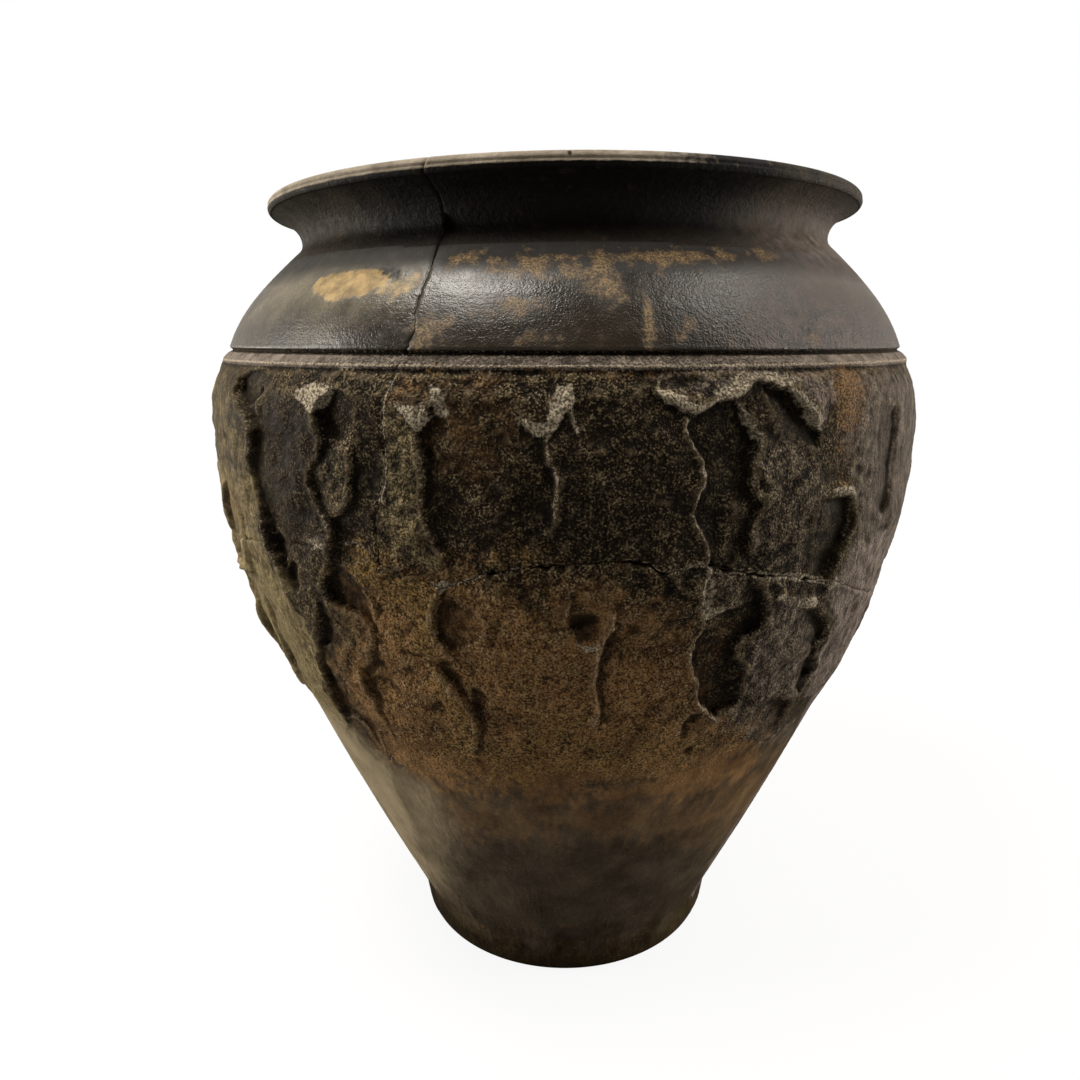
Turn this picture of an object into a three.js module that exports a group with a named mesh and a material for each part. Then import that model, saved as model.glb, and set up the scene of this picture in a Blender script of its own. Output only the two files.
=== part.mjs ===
// A wheel-thrown jar with a grooved cordon and a thick, rusticated slip coat, broken and stuck together
// again.
// Millimetres, +Z up. The origin is the middle of the flat foot, and the photographed front faces -Y.
import * as THREE from 'three';
import { mergeVertices } from 'three/addons/utils/BufferGeometryUtils.js';

// Overall sizes
const potHeight = 200;
const footRadius = 39.4;
const girthRadius = 96;
const girthHeight = 146;
const neckRadius = 76;
const neckHeight = 186.5;
const lipRadius = 85.2;
const mouthRadius = 79.5;
const throatHeight = 183.5;

// Wall
const wallThickness = 6;
const floorThickness = 8;
const floorCornerWidth = 7.2;
const floorCornerHeight = 4;
const lipEdgeRounding = 1.6;
const footEdgeRounding = 1.2;
const footBandHeight = 9;
const footBandFlare = 2.8;

// Curves of the wall: how far each curve's handle runs from its end
const footFlare = new THREE.Vector2(34.6, 60);
const girthHandleBelow = 39;
const girthHandleAbove = 18;
const shoulderHandle = new THREE.Vector2(13.5, -14);
const neckHandle = new THREE.Vector2(-0.4, 4.5);
const lipHandle = new THREE.Vector2(-6, -1.8);
const lipUnderside = 3.6;
const mouthHandle = 6.5;

// Groove and cordon at the top of the coat
const cordonTop = 157.8;
const cordonHeight = 2.4;
const cordonRelief = 0.9;
const grooveWidth = 1.4;
const grooveDepth = 0.8;

// Slip coat
const coatTop = 155;
const coatBottom = 66;
const coatGap = 0.3;
const coatThickness = 1.7;
const coatFeather = 0.6;
const coatFadeHeight = 22;
const coatTopFade = 4;
const drapeRise = 2;
const drapeBlend = 2.4;
const drapeReach = 11;

// Breaks and the adhesive in them
const jointWidth = 1;
const jointFilm = 0.4;
const filmInset = 0.7;
const upperBreakAngle = -20.5;
const sherdSpan = 180;
const breakLeanReach = 24;

// Steps round the pot: a column of points every few degrees, one of them on each upright break
const columnCount = 80;
const columnStep = 360 / columnCount;
const sherdColumns = sherdSpan / columnStep;

// Steps up the wall. The rows of points above the girth break are level from levelRow up.
const levelRow = 127;
const bellySteps = 4;
const fadeSteps = 2;
const girthSteps = 3;
const shoulderSteps = 5;
const neckSteps = 3;
const curveSteps = 60;
const slopeStep = 1;
const joinDistance = 1e-4;

const degree = Math.PI / 180;

// The breaks and the drapes are given by their heights in percent of the pot's
function percentUp(percent) {
  return potHeight * percent / 100;
}

// The upright break wanders: [percent up, degrees it lies to the right of its mean line]
const uprightBreak = [
  [58, -3], [64, -2], [69, -0.5], [75, 0], [81.5, 1.8], [87.5, 1.6], [92, 0], [100, 0.4],
].map(([percent, turn]) => [percentUp(percent), turn]);

// The girth break: [degrees round the pot, percent up], round once
const girthBreak = [
  [-180, 55], [-150, 58], [-115, 54.5], [-80, 56], [-55, 57], [-34, 59], [-24, 59], [-15, 56.25], [-7, 58.25],
  [4, 59.25], [12, 58], [18, 58.25], [28, 56.25], [39, 54.5], [47, 52], [63, 49], [85, 52], [110, 56.5],
  [145, 53], [180, 55],
].map(([turn, percent]) => [turn, percentUp(percent)]);

// Edges of the slip's drapes: the side that stands proud, its rise as a share of drapeRise, and
// [degrees, percent up] along the edge
const drapes = [
  { high: 'left', rise: 1.1, line: [
    [-50, 75.5], [-47, 72], [-44.5, 69], [-45.5, 63.5], [-43, 59], [-42.5, 53.5],
  ] },
  { high: 'left', rise: 1, line: [
    [-29, 74.5], [-30.5, 71.5], [-32.5, 66], [-29.5, 60.5], [-33, 55], [-32, 52.5],
  ] },
  { high: 'left', rise: 0.9, line: [[-16.5, 72], [-16, 68.5], [-16.5, 63], [-14.5, 59.5]] },
  { high: 'right', rise: 0.4, line: [[-2, 71.5], [-1, 67.5], [-2, 62.5]] },
  { high: 'left', rise: 0.8, line: [
    [14, 72.5], [16, 69], [15.5, 64], [18, 58], [17.5, 49], [20, 42.5], [24, 40],
  ] },
  { high: 'left', rise: 0.9, line: [[32, 71.5], [28, 74.5], [23.5, 76.75], [19, 74.5], [10.5, 75]] },
  { high: 'right', rise: 0.9, line: [[20.5, 74], [22.5, 70.5], [22, 66], [23.5, 62]] },
  { high: 'right', rise: 1.1, line: [[40, 63.5], [41, 60], [38, 57], [37, 54.5]] },
  { high: 'right', rise: 1, line: [[50.5, 73], [52, 66.5], [51.5, 61.5]] },
  { high: 'left', rise: 0.9, line: [[-25, 54], [-27, 49], [-30.5, 44], [-29.5, 38]] },
  { high: 'left', rise: 1, line: [[-36, 52], [-38.5, 47], [-41, 43.5], [-39, 40.5], [-43, 34.5]] },
  { high: 'left', rise: 0.9, line: [[-15, 56], [-16.5, 51], [-14, 44.5], [-12.5, 40.5], [-15, 34.5]] },
  { high: 'left', rise: 0.6, line: [[5, 54], [5.5, 51], [4, 46], [4, 41]] },
  { high: 'right', rise: 1, line: [[25.5, 55.5], [27, 52.5], [24, 49], [26, 43], [22, 40.5]] },
  { high: 'right', rise: 1, line: [[40, 50], [43, 47], [41, 42], [39.5, 38.5], [38, 34]] },
];
// The drapes that can't be seen go round the back in the same manner, turned and moved down a little
const drapeTurns = [{ turn: 0, drop: 0 }, { turn: 122, drop: 1 }, { turn: -118, drop: -0.5 }];

function lerp(from, to, share) {
  return from + (to - from) * share;
}

// Reads a list of [place, value] pairs as a smooth line through them
function readLine(pairs, place) {
  const last = pairs.length - 1;
  let k = 0;
  while (k < last - 1 && place > pairs[k + 1][0]) k++;
  const share = THREE.MathUtils.clamp((place - pairs[k][0]) / (pairs[k + 1][0] - pairs[k][0]), 0, 1);
  return lerp(pairs[k][1], pairs[k + 1][1], THREE.MathUtils.smoothstep(share, 0, 1));
}

// Outline of the wall, as curves of (radius, height)
const footTop = new THREE.Vector2(footRadius + footBandFlare, footBandHeight);
const coatFadeTop = coatBottom + coatFadeHeight;
const girth = new THREE.Vector2(girthRadius, girthHeight);
const neck = new THREE.Vector2(neckRadius, neckHeight);
const lipCorner = new THREE.Vector2(lipRadius - lipEdgeRounding / 2, potHeight - lipUnderside);
const belly = new THREE.CubicBezierCurve(
  footTop,
  footTop.clone().add(footFlare),
  girth.clone().setY(girthHeight - girthHandleBelow),
  girth,
);
const shoulder = new THREE.CubicBezierCurve(
  girth,
  girth.clone().setY(girthHeight + girthHandleAbove),
  neck.clone().add(shoulderHandle),
  neck,
);
const rimUnderside = new THREE.CubicBezierCurve(
  neck,
  neck.clone().add(neckHandle),
  lipCorner.clone().add(lipHandle),
  lipCorner,
);
const wallLine = [...belly.getPoints(curveSteps), ...shoulder.getPoints(curveSteps)];

// Inside of the neck, which widens upwards to the mouth
const throat = new THREE.Vector2(neckRadius - wallThickness, throatHeight);
const mouthCurve = new THREE.QuadraticBezierCurve(
  throat,
  throat.clone().setY(throatHeight + mouthHandle),
  new THREE.Vector2(mouthRadius, potHeight),
);

// Radius of the plain wall at a height between the foot and the neck
function wallRadius(height) {
  let k = 1;
  while (k < wallLine.length - 1 && wallLine[k].y < height) k++;
  const below = wallLine[k - 1];
  const above = wallLine[k];
  const share = above.y > below.y ? (height - below.y) / (above.y - below.y) : 0;
  return lerp(below.x, above.x, THREE.MathUtils.clamp(share, 0, 1));
}

// Inside of the wall: the same line, set in by the wall's thickness at right angles to it
function innerRadius(height) {
  const slope = (wallRadius(height + slopeStep) - wallRadius(height - slopeStep)) / (2 * slopeStep);
  return wallRadius(height) - wallThickness * Math.hypot(1, slope);
}

function girthBreakHeight(angle) {
  const turned = THREE.MathUtils.euclideanModulo(angle + 180, 360) - 180;
  return readLine(girthBreak, turned);
}

// A column near an upright break leans with it, and the lean dies away either side
function columnAngle(column, height) {
  const mean = upperBreakAngle + column * columnStep;
  const away = Math.abs(THREE.MathUtils.euclideanModulo(mean - upperBreakAngle + 90, 180) - 90);
  const share = 1 - THREE.MathUtils.smoothstep(away, 0, breakLeanReach);
  return mean + share * readLine(uprightBreak, height);
}

// Millimetres from a place on the wall to a drape's edge: minus on its left, plus on its right
function sideOfEdge(angle, height, line) {
  const scale = wallRadius(height) * degree;
  const place = new THREE.Vector2(angle * scale, height);
  let nearest = Infinity;
  let signed = Infinity;
  for (let k = 0; k + 1 < line.length; k++) {
    const top = new THREE.Vector2(line[k][0] * scale, percentUp(line[k][1]));
    const along = new THREE.Vector2(line[k + 1][0] * scale, percentUp(line[k + 1][1])).sub(top);
    const offset = place.clone().sub(top);
    const share = THREE.MathUtils.clamp(offset.dot(along) / along.lengthSq(), 0, 1);
    const distance = offset.clone().addScaledVector(along, -share).length();
    if (distance < nearest) {
      nearest = distance;
      signed = Math.sign(offset.cross(along)) * -distance;
    }
  }
  return signed;
}

// How far one drape lifts the coat beside its edge, or sinks it on the low side
function drapeLift(angle, height, drape) {
  const side = sideOfEdge(angle, height, drape.line) * (drape.high === 'left' ? -1 : 1);
  const step = Math.tanh(side / drapeBlend);
  return drape.rise * drapeRise / 2 * step * Math.exp(-Math.abs(side) / drapeReach);
}

// Thickness of the slip coat at a place on the wall, thinning out to its lower edge
function slipThickness(angle, height) {
  let lift = 0;
  for (const { turn, drop } of drapeTurns) {
    const local = THREE.MathUtils.euclideanModulo(angle - turn + 180, 360) - 180;
    for (const drape of drapes) lift += drapeLift(local, height + percentUp(drop), drape);
  }
  const fade = THREE.MathUtils.smoothstep(height, coatBottom, coatFadeTop);
  const topFade = 1 - THREE.MathUtils.smoothstep(height, coatTop - coatTopFade, coatTop) / 2;
  return coatFeather + Math.max(0, (coatThickness + lift - coatFeather) * fade * topFade);
}

// A place on the pot: degrees round from the front (right is plus), radius and height
function place(angle, radius, height) {
  return new THREE.Vector3(radius * Math.sin(angle * degree), -radius * Math.cos(angle * degree), height);
}

// A closed shell from columns of points. Each column has its outer and inner points from the bottom up, and
// ties, which give the outer point that each inner point lies behind. A shell that doesn't go round has two
// ends.
function shellGeometry(columns, ties, goesRound) {
  const outerCount = columns[0].outer.length;
  const innerCount = ties.length;
  const perColumn = outerCount + innerCount;
  const outerTop = outerCount - 1;
  const innerTop = innerCount - 1;
  const points = columns.flatMap((column) => [...column.outer, ...column.inner]);
  const outer = (c, k) => (c % columns.length) * perColumn + k;
  const inner = (c, k) => (c % columns.length) * perColumn + outerCount + k;
  const index = [];
  const quad = (a, b, c, d) => index.push(a, b, c, a, c, d);
  const spans = goesRound ? columns.length : columns.length - 1;
  for (let c = 0; c < spans; c++) {
    const next = c + 1;
    for (let k = 0; k + 1 < outerCount; k++) {
      quad(outer(c, k), outer(next, k), outer(next, k + 1), outer(c, k + 1));
    }
    for (let k = 0; k + 1 < innerCount; k++) {
      quad(inner(next, k), inner(c, k), inner(c, k + 1), inner(next, k + 1));
    }
    quad(outer(c, outerTop), outer(next, outerTop), inner(next, innerTop), inner(c, innerTop));
    quad(inner(c, 0), inner(next, 0), outer(next, 0), outer(c, 0));
  }
  if (!goesRound) {
    closeEnd(index, 0, outer, inner, ties, true);
    closeEnd(index, columns.length - 1, outer, inner, ties, false);
  }
  return tidyGeometry(points, index);
}

// Fills the wall's section at one end of a shell
function closeEnd(index, column, outer, inner, ties, faceOn) {
  const triangle = (a, b, c) => index.push(...(faceOn ? [a, b, c] : [a, c, b]));
  for (let k = 0; k + 1 < ties.length; k++) {
    for (let j = ties[k]; j < ties[k + 1]; j++) {
      triangle(inner(column, k), outer(column, j), outer(column, j + 1));
    }
    triangle(inner(column, k), outer(column, ties[k + 1]), inner(column, k + 1));
  }
}

// Joins points that coincide and drops the triangles that they flatten
function tidyGeometry(points, index) {
  const loose = new THREE.BufferGeometry().setFromPoints(points);
  loose.setIndex(index);
  const joined = mergeVertices(loose, joinDistance);
  const corners = joined.getIndex().array;
  const kept = [];
  for (let k = 0; k < corners.length; k += 3) {
    const [a, b, c] = corners.slice(k, k + 3);
    if (a !== b && b !== c && c !== a) kept.push(a, b, c);
  }
  joined.setIndex(kept);
  joined.computeVertexNormals();
  return joined;
}

// Heights at even steps, with both ends
function evenRows(bottom, top, steps) {
  return Array.from({ length: steps + 1 }, (_, k) => lerp(bottom, top, k / steps));
}

// Outer points of the wall above the girth break, as [radius, height]
function upperOuterLine(breakHeight) {
  const coated = [breakHeight, ...evenRows(levelRow, coatTop, girthSteps)].map((z) => [wallRadius(z), z]);
  const cordonBottom = cordonTop - cordonHeight;
  const grooveMiddle = cordonTop + grooveWidth / 2;
  const grooveTop = cordonTop + grooveWidth;
  const moulded = [
    [wallRadius(cordonBottom) + cordonRelief, cordonBottom],
    [wallRadius(cordonTop) + cordonRelief / 2, cordonTop],
    [wallRadius(grooveMiddle) - grooveDepth, grooveMiddle],
    [wallRadius(grooveTop), grooveTop],
  ];
  const plain = [];
  for (let k = 1; k < shoulderSteps; k++) {
    const z = lerp(grooveTop, neckHeight, Math.sqrt(k / shoulderSteps));
    plain.push([wallRadius(z), z]);
  }
  const rim = rimUnderside.getPoints(neckSteps).map((p) => [p.x, p.y]);
  const lip = [
    [lipRadius, potHeight - lipUnderside + lipEdgeRounding],
    [lipRadius, potHeight - lipEdgeRounding],
    [lipRadius - lipEdgeRounding, potHeight],
  ];
  return [...coated, ...moulded, ...plain, ...rim, ...lip];
}

// Inner points of the same wall: one behind every second outer point, and the last ones up the mouth's curve
function upperInnerLine(outer) {
  const last = outer.length - 1;
  const ties = outer.map((_, k) => k).filter((k) => k === 0 || k % 2 === 1 || k === last);
  const firstInMouth = ties.findIndex((tie) => outer[tie][1] > throatHeight);
  return ties.map((tie, k) => {
    const z = outer[tie][1];
    if (k < firstInMouth) return { tie, point: [Math.max(innerRadius(z), throat.x), z] };
    const { x, y } = mouthCurve.getPoint((k - firstInMouth) / (ties.length - 1 - firstInMouth));
    return { tie, point: [x, y] };
  });
}

// One column of an upper sherd. Shift moves it sideways, and inset shrinks its section for the adhesive.
function upperColumn(column, shift, inset, rise) {
  const bottom = girthBreakHeight(columnAngle(column, uprightBreak[0][0])) + rise;
  const outer = upperOuterLine(bottom);
  const inner = upperInnerLine(outer);
  const top = potHeight - inset;
  const at = ([radius, z], angle, move) => {
    const turned = angle + shift / (radius * degree);
    return place(turned, radius + move, Math.min(z, top));
  };
  return {
    outer: outer.map((p) => at(p, columnAngle(column, p[1]), -inset)),
    inner: inner.map(({ tie, point }) => at(point, columnAngle(column, outer[tie][1]), inset)),
    ties: inner.map(({ tie }) => tie),
  };
}

function upperSherd(firstColumn) {
  const columns = [];
  for (let c = 0; c <= sherdColumns; c++) {
    const shift = c === 0 ? jointWidth / 2 : c === sherdColumns ? -jointWidth / 2 : 0;
    columns.push(upperColumn(firstColumn + c, shift, 0, jointWidth / 2));
  }
  return shellGeometry(columns, columns[0].ties, false);
}

// Adhesive left in an upright break, inside the wall's section
function uprightFilm(column) {
  const rise = jointWidth + jointFilm;
  const sides = [-jointFilm / 2, jointFilm / 2].map((shift) => upperColumn(column, shift, filmInset, rise));
  return shellGeometry(sides, sides[0].ties, false);
}

// Adhesive left in the girth break
function girthFilm() {
  const columns = [];
  for (let c = 0; c < columnCount; c++) {
    const angle = columnAngle(c, uprightBreak[0][0]);
    const middle = girthBreakHeight(angle);
    const heights = [middle - jointFilm / 2, middle + jointFilm / 2];
    columns.push({
      outer: heights.map((z) => place(angle, wallRadius(z) - filmInset, z)),
      inner: heights.map((z) => place(angle, innerRadius(z) + filmInset, z)),
    });
  }
  return shellGeometry(columns, [0, 1], true);
}

// The lower body, from the flat foot to the girth break
function lowerBody() {
  const columns = [];
  for (let c = 0; c < columnCount; c++) {
    const angle = columnAngle(c, uprightBreak[0][0]);
    const top = girthBreakHeight(angle) - jointWidth / 2;
    const belt = [];
    for (let k = 0; k < bellySteps; k++) belt.push(lerp(footBandHeight, coatBottom, k / bellySteps));
    const coated = evenRows(coatFadeTop, top, fadeSteps);
    const heights = [...belt, ...evenRows(coatBottom, coatFadeTop, fadeSteps), ...coated.slice(1)];
    const outer = [
      place(angle, 0, 0),
      place(angle, footRadius, 0),
      place(angle, footRadius + footEdgeRounding, footEdgeRounding),
      ...heights.map((z) => place(angle, wallRadius(z), z)),
    ];
    const floorRadius = footRadius - wallThickness / 2;
    const inner = [
      place(angle, 0, floorThickness),
      place(angle, floorRadius - floorCornerWidth, floorThickness),
      place(angle, floorRadius, floorThickness + floorCornerHeight),
      ...[heights[1], heights[2], coatBottom, ...coated].map((z) => place(angle, innerRadius(z), z)),
    ];
    columns.push({ outer, inner });
  }
  return shellGeometry(columns, columns[0].inner.map((_, k) => k), true);
}

// One column of the slip coat between two heights
function coatColumn(column, heights, shift) {
  const at = (z, lift) => {
    const radius = wallRadius(z) + coatGap;
    const angle = columnAngle(column, z) + shift / (radius * degree);
    return place(angle, radius + lift(angle, z), z);
  };
  return {
    outer: heights.map((z) => at(z, slipThickness)),
    inner: heights.map((z) => at(z, () => 0)),
  };
}

function upperCoat(firstColumn) {
  const columns = [];
  for (let c = 0; c <= sherdColumns; c++) {
    const column = firstColumn + c;
    const bottom = girthBreakHeight(columnAngle(column, uprightBreak[0][0])) + jointWidth / 2;
    const shift = c === 0 ? jointWidth / 2 : c === sherdColumns ? -jointWidth / 2 : 0;
    const level = evenRows(levelRow, coatTop - coatGap, 2 * girthSteps);
    const heights = [...evenRows(bottom, levelRow, fadeSteps), ...level.slice(1)];
    columns.push(coatColumn(column, heights, shift));
  }
  return shellGeometry(columns, columns[0].inner.map((_, k) => k), false);
}

function lowerCoat() {
  const columns = [];
  for (let c = 0; c < columnCount; c++) {
    const top = girthBreakHeight(columnAngle(c, uprightBreak[0][0])) - jointWidth / 2;
    const fading = evenRows(coatBottom + coatGap, coatFadeTop, 2 * fadeSteps);
    const heights = [...fading, ...evenRows(coatFadeTop, top, 2 * fadeSteps).slice(1)];
    columns.push(coatColumn(c, heights, 0));
  }
  return shellGeometry(columns, columns[0].inner.map((_, k) => k), true);
}

// Materials: a reduced, burnished grey-black fabric, a paler gritty slip, and clear yellowed adhesive
function burnishedFabric() {
  return new THREE.MeshStandardMaterial({ color: '#3a372f', roughness: 0.55, metalness: 0 });
}

function grittySlip(color) {
  return new THREE.MeshStandardMaterial({ color, roughness: 0.85, metalness: 0 });
}

function oldAdhesive() {
  return new THREE.MeshStandardMaterial({ color: '#6d5c3f', roughness: 0.4, metalness: 0 });
}

function piece(name, geometry, material) {
  const mesh = new THREE.Mesh(geometry, material);
  mesh.name = name;
  return mesh;
}

const pot = new THREE.Group();
const slipAbove = '#45423a';
const slipBelow = '#4d4230';
pot.add(piece('lower_body', lowerBody(), burnishedFabric()));
pot.add(piece('lower_slip_coat', lowerCoat(), grittySlip(slipBelow)));
const sides = [['right', 0], ['left', sherdColumns]];
for (const [side, firstColumn] of sides) {
  pot.add(piece(`upper_${side}_sherd`, upperSherd(firstColumn), burnishedFabric()));
  pot.add(piece(`upper_${side}_slip_coat`, upperCoat(firstColumn), grittySlip(slipAbove)));
}
pot.add(piece('girth_adhesive', girthFilm(), oldAdhesive()));
pot.add(piece('front_adhesive', uprightFilm(0), oldAdhesive()));
pot.add(piece('back_adhesive', uprightFilm(sherdColumns), oldAdhesive()));

export default pot;
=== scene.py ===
# Rusticated jar: wheel-thrown greyware under a dragged slip, broken and stuck together again.
import bmesh
import bpy
import math
import numpy as np
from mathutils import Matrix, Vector


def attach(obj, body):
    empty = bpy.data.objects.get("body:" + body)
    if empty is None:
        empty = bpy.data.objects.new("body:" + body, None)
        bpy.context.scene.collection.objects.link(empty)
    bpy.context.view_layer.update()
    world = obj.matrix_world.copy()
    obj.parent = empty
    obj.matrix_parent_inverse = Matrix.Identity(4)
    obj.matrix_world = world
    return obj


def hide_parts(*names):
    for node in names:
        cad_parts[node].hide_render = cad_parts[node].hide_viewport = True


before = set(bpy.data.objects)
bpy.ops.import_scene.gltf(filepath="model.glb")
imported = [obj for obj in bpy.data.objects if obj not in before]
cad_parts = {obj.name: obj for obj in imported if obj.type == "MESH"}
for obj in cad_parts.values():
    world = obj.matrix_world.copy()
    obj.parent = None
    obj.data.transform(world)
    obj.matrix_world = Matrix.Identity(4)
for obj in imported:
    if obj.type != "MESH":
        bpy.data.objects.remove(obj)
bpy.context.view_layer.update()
mm = 0.001

# The photograph: focal length in pixels, where the jar's axis and the eye line fall, lens to axis in mm
photo = {"size": 1080, "focal": 840.8, "axisX": 565, "eyeY": 339, "distance": 255.0, "lensHeight": 161.4,
         "sensor": 36.0, "clipStart": 0.005}

# The turned outline in mm, as radius and height
jar = {
    "height": 200.0,
    "foot": (39.4, 0.0),
    "footTop": (42.2, 9.0),
    "bellyHandles": [(76.8, 69.0), (96.0, 107.0)],
    "girth": (96.0, 146.0),
    "shoulderHandles": [(96.0, 164.0), (89.5, 172.5)],
    "neck": (76.0, 186.5),
    "rimHandles": [(75.6, 191.0), (78.4, 194.6)],
    "lipCorner": (84.4, 196.4),
    "lip": 85.2,
    "lipRound": (1.9, 2.0),       # how far the lip's rounding reaches, inwards and down
    "mouth": 79.5,
    "wall": 6.0,
    "floor": 8.0,
    "rimLean": 1.1,       # the mouth stands this much higher at the right and lower at the left
    "leanFrom": (158, 192),       # heights at which the lean begins and is whole
}
moulding = {
    "from": 150,       # no moulding below this height
    "crest": 156.2,
    "crestRise": 0.95,
    "above": 1.3,      # how wide the cordon is above its crest, and below
    "below": 0.95,
    "groove": 158.6,
    "grooveWidth": 0.5,
    "grooveDepth": 1.0,
    "lipGroove": 0.3,
    "neckBlend": 2.6,
}
coat = {
    "top": 154.9,
    "foot": 64.0,
    "fade": 20.0,
    "thickness": 1.7,
    "upperFade": 5.0,
    "thinTop": 0.55,
    "topBlend": 0.8,
    "seen": (66, 155),       # heights between which a ray meets the slip, at a middling thickness
    "middling": 1.5,
}


def bezier(points, count):
    t = np.linspace(0, 1, count)[:, None]
    a, b, c, d = [np.array(p) for p in points]
    return (1 - t) ** 3 * a + 3 * (1 - t) ** 2 * t * b + 3 * (1 - t) * t ** 2 * c + t ** 3 * d


bellyLine = bezier([jar["footTop"], *jar["bellyHandles"], jar["girth"]], 400)
shoulderLine = bezier([jar["girth"], *jar["shoulderHandles"], jar["neck"]], 400)
rimLine = bezier([jar["neck"], *jar["rimHandles"], jar["lipCorner"]], 60)
footLine = np.array([jar["foot"], (40.4, 1.0), jar["footTop"]])
wallLine = np.vstack([footLine[:-1], bellyLine, shoulderLine[1:]])
lipEnd = [(jar["lip"], jar["height"] - jar["lipRound"][1]), (jar["lip"], jar["height"])]
wholeLine = np.vstack([wallLine, rimLine[1:], lipEnd])


def smooth(value, low, high):
    t = np.clip((value - low) / (high - low), 0, 1)
    return t * t * (3 - 2 * t)


def wallRadius(z):
    return np.interp(z, wallLine[:, 1], wallLine[:, 0])


def rings(values, columns):
    # one row of points for each value, the same all round
    return np.repeat(np.array(values, dtype=float)[:, None], columns, axis=1)


def fromAngle(angles, middle):
    # degrees from a middle angle, -180 to 180
    return (angles - middle + 180) % 360 - 180


def innerRadius(z):
    slope = (wallRadius(z + 1) - wallRadius(z - 1)) / 2
    return wallRadius(z) - jar["wall"] * np.hypot(1, slope)


def spotOnJar(px, py):
    # follows the photograph's ray through a pixel to the jar, and gives degrees round it and height
    reach, steps = 110, 2200
    along = np.linspace(photo["distance"] - reach, photo["distance"], steps)
    x = (px - photo["axisX"]) / photo["focal"] * along
    y = along - photo["distance"]
    z = photo["lensHeight"] - (py - photo["eyeY"]) / photo["focal"] * along
    slip = coat["middling"] * (z > coat["seen"][0]) * (z < coat["seen"][1])
    gap = np.hypot(x, y) - np.interp(z, wholeLine[:, 1], wholeLine[:, 0]) - slip
    k = int(np.argmax(gap <= 0)) if np.any(gap <= 0) else int(np.argmin(gap))
    return math.degrees(math.atan2(x[k], -y[k])), float(z[k])


# The breaks: pixels along them
frontBreakPixels = [
    (425, 153), (430, 180), (440, 235), (430, 270), (415, 310), (414, 330), (408, 345), (402, 357),
    (393, 375), (390, 388), (385, 400), (384, 424), (383, 445), (384, 460), (382, 486), (378, 508),
    (375, 519), (378, 545), (378, 565),
]
girthBreakPixels = [
    (311, 545), (335, 541), (358, 545), (374, 550), (378, 565), (400, 571), (425, 581), (442, 589),
    (456, 584), (470, 580), (485, 574), (500, 571), (515, 571), (530, 567), (545, 568), (560, 565),
    (580, 564), (600, 562), (620, 561), (640, 562), (652, 567), (665, 574), (680, 569), (700, 565),
    (712, 566), (726, 570), (740, 573), (765, 576), (785, 576), (800, 578), (815, 581), (830, 580),
    (850, 588), (870, 592),
]
# The girth break's unseen way round the back, in degrees and mm
girthBreakBehind = [
    (85, 104), (110, 113), (145, 106), (180, 110), (210, 116), (245, 109), (280, 112), (305, 114),
]
# In mm, but for the front break's wander in degrees
breakGap = {"half": 0.1, "wander": 0.35, "frontWander": 0.12, "bevel": 0.25, "bevelReach": 0.4}
# Chips off the girth break: pixel, how deep and how long in mm
breakChips = [
    (712, 565, 1.1, 1.0), (728, 571, 1.5, 1.1), (806, 579, 1.6, 1.0), (760, 577, 0.7, 5.0),
    (492, 572, 0.9, 0.6), (545, 568, 0.6, 1.5), (640, 561, 0.9, 3.0), (665, 574, 0.5, 1.0),
]

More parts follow.
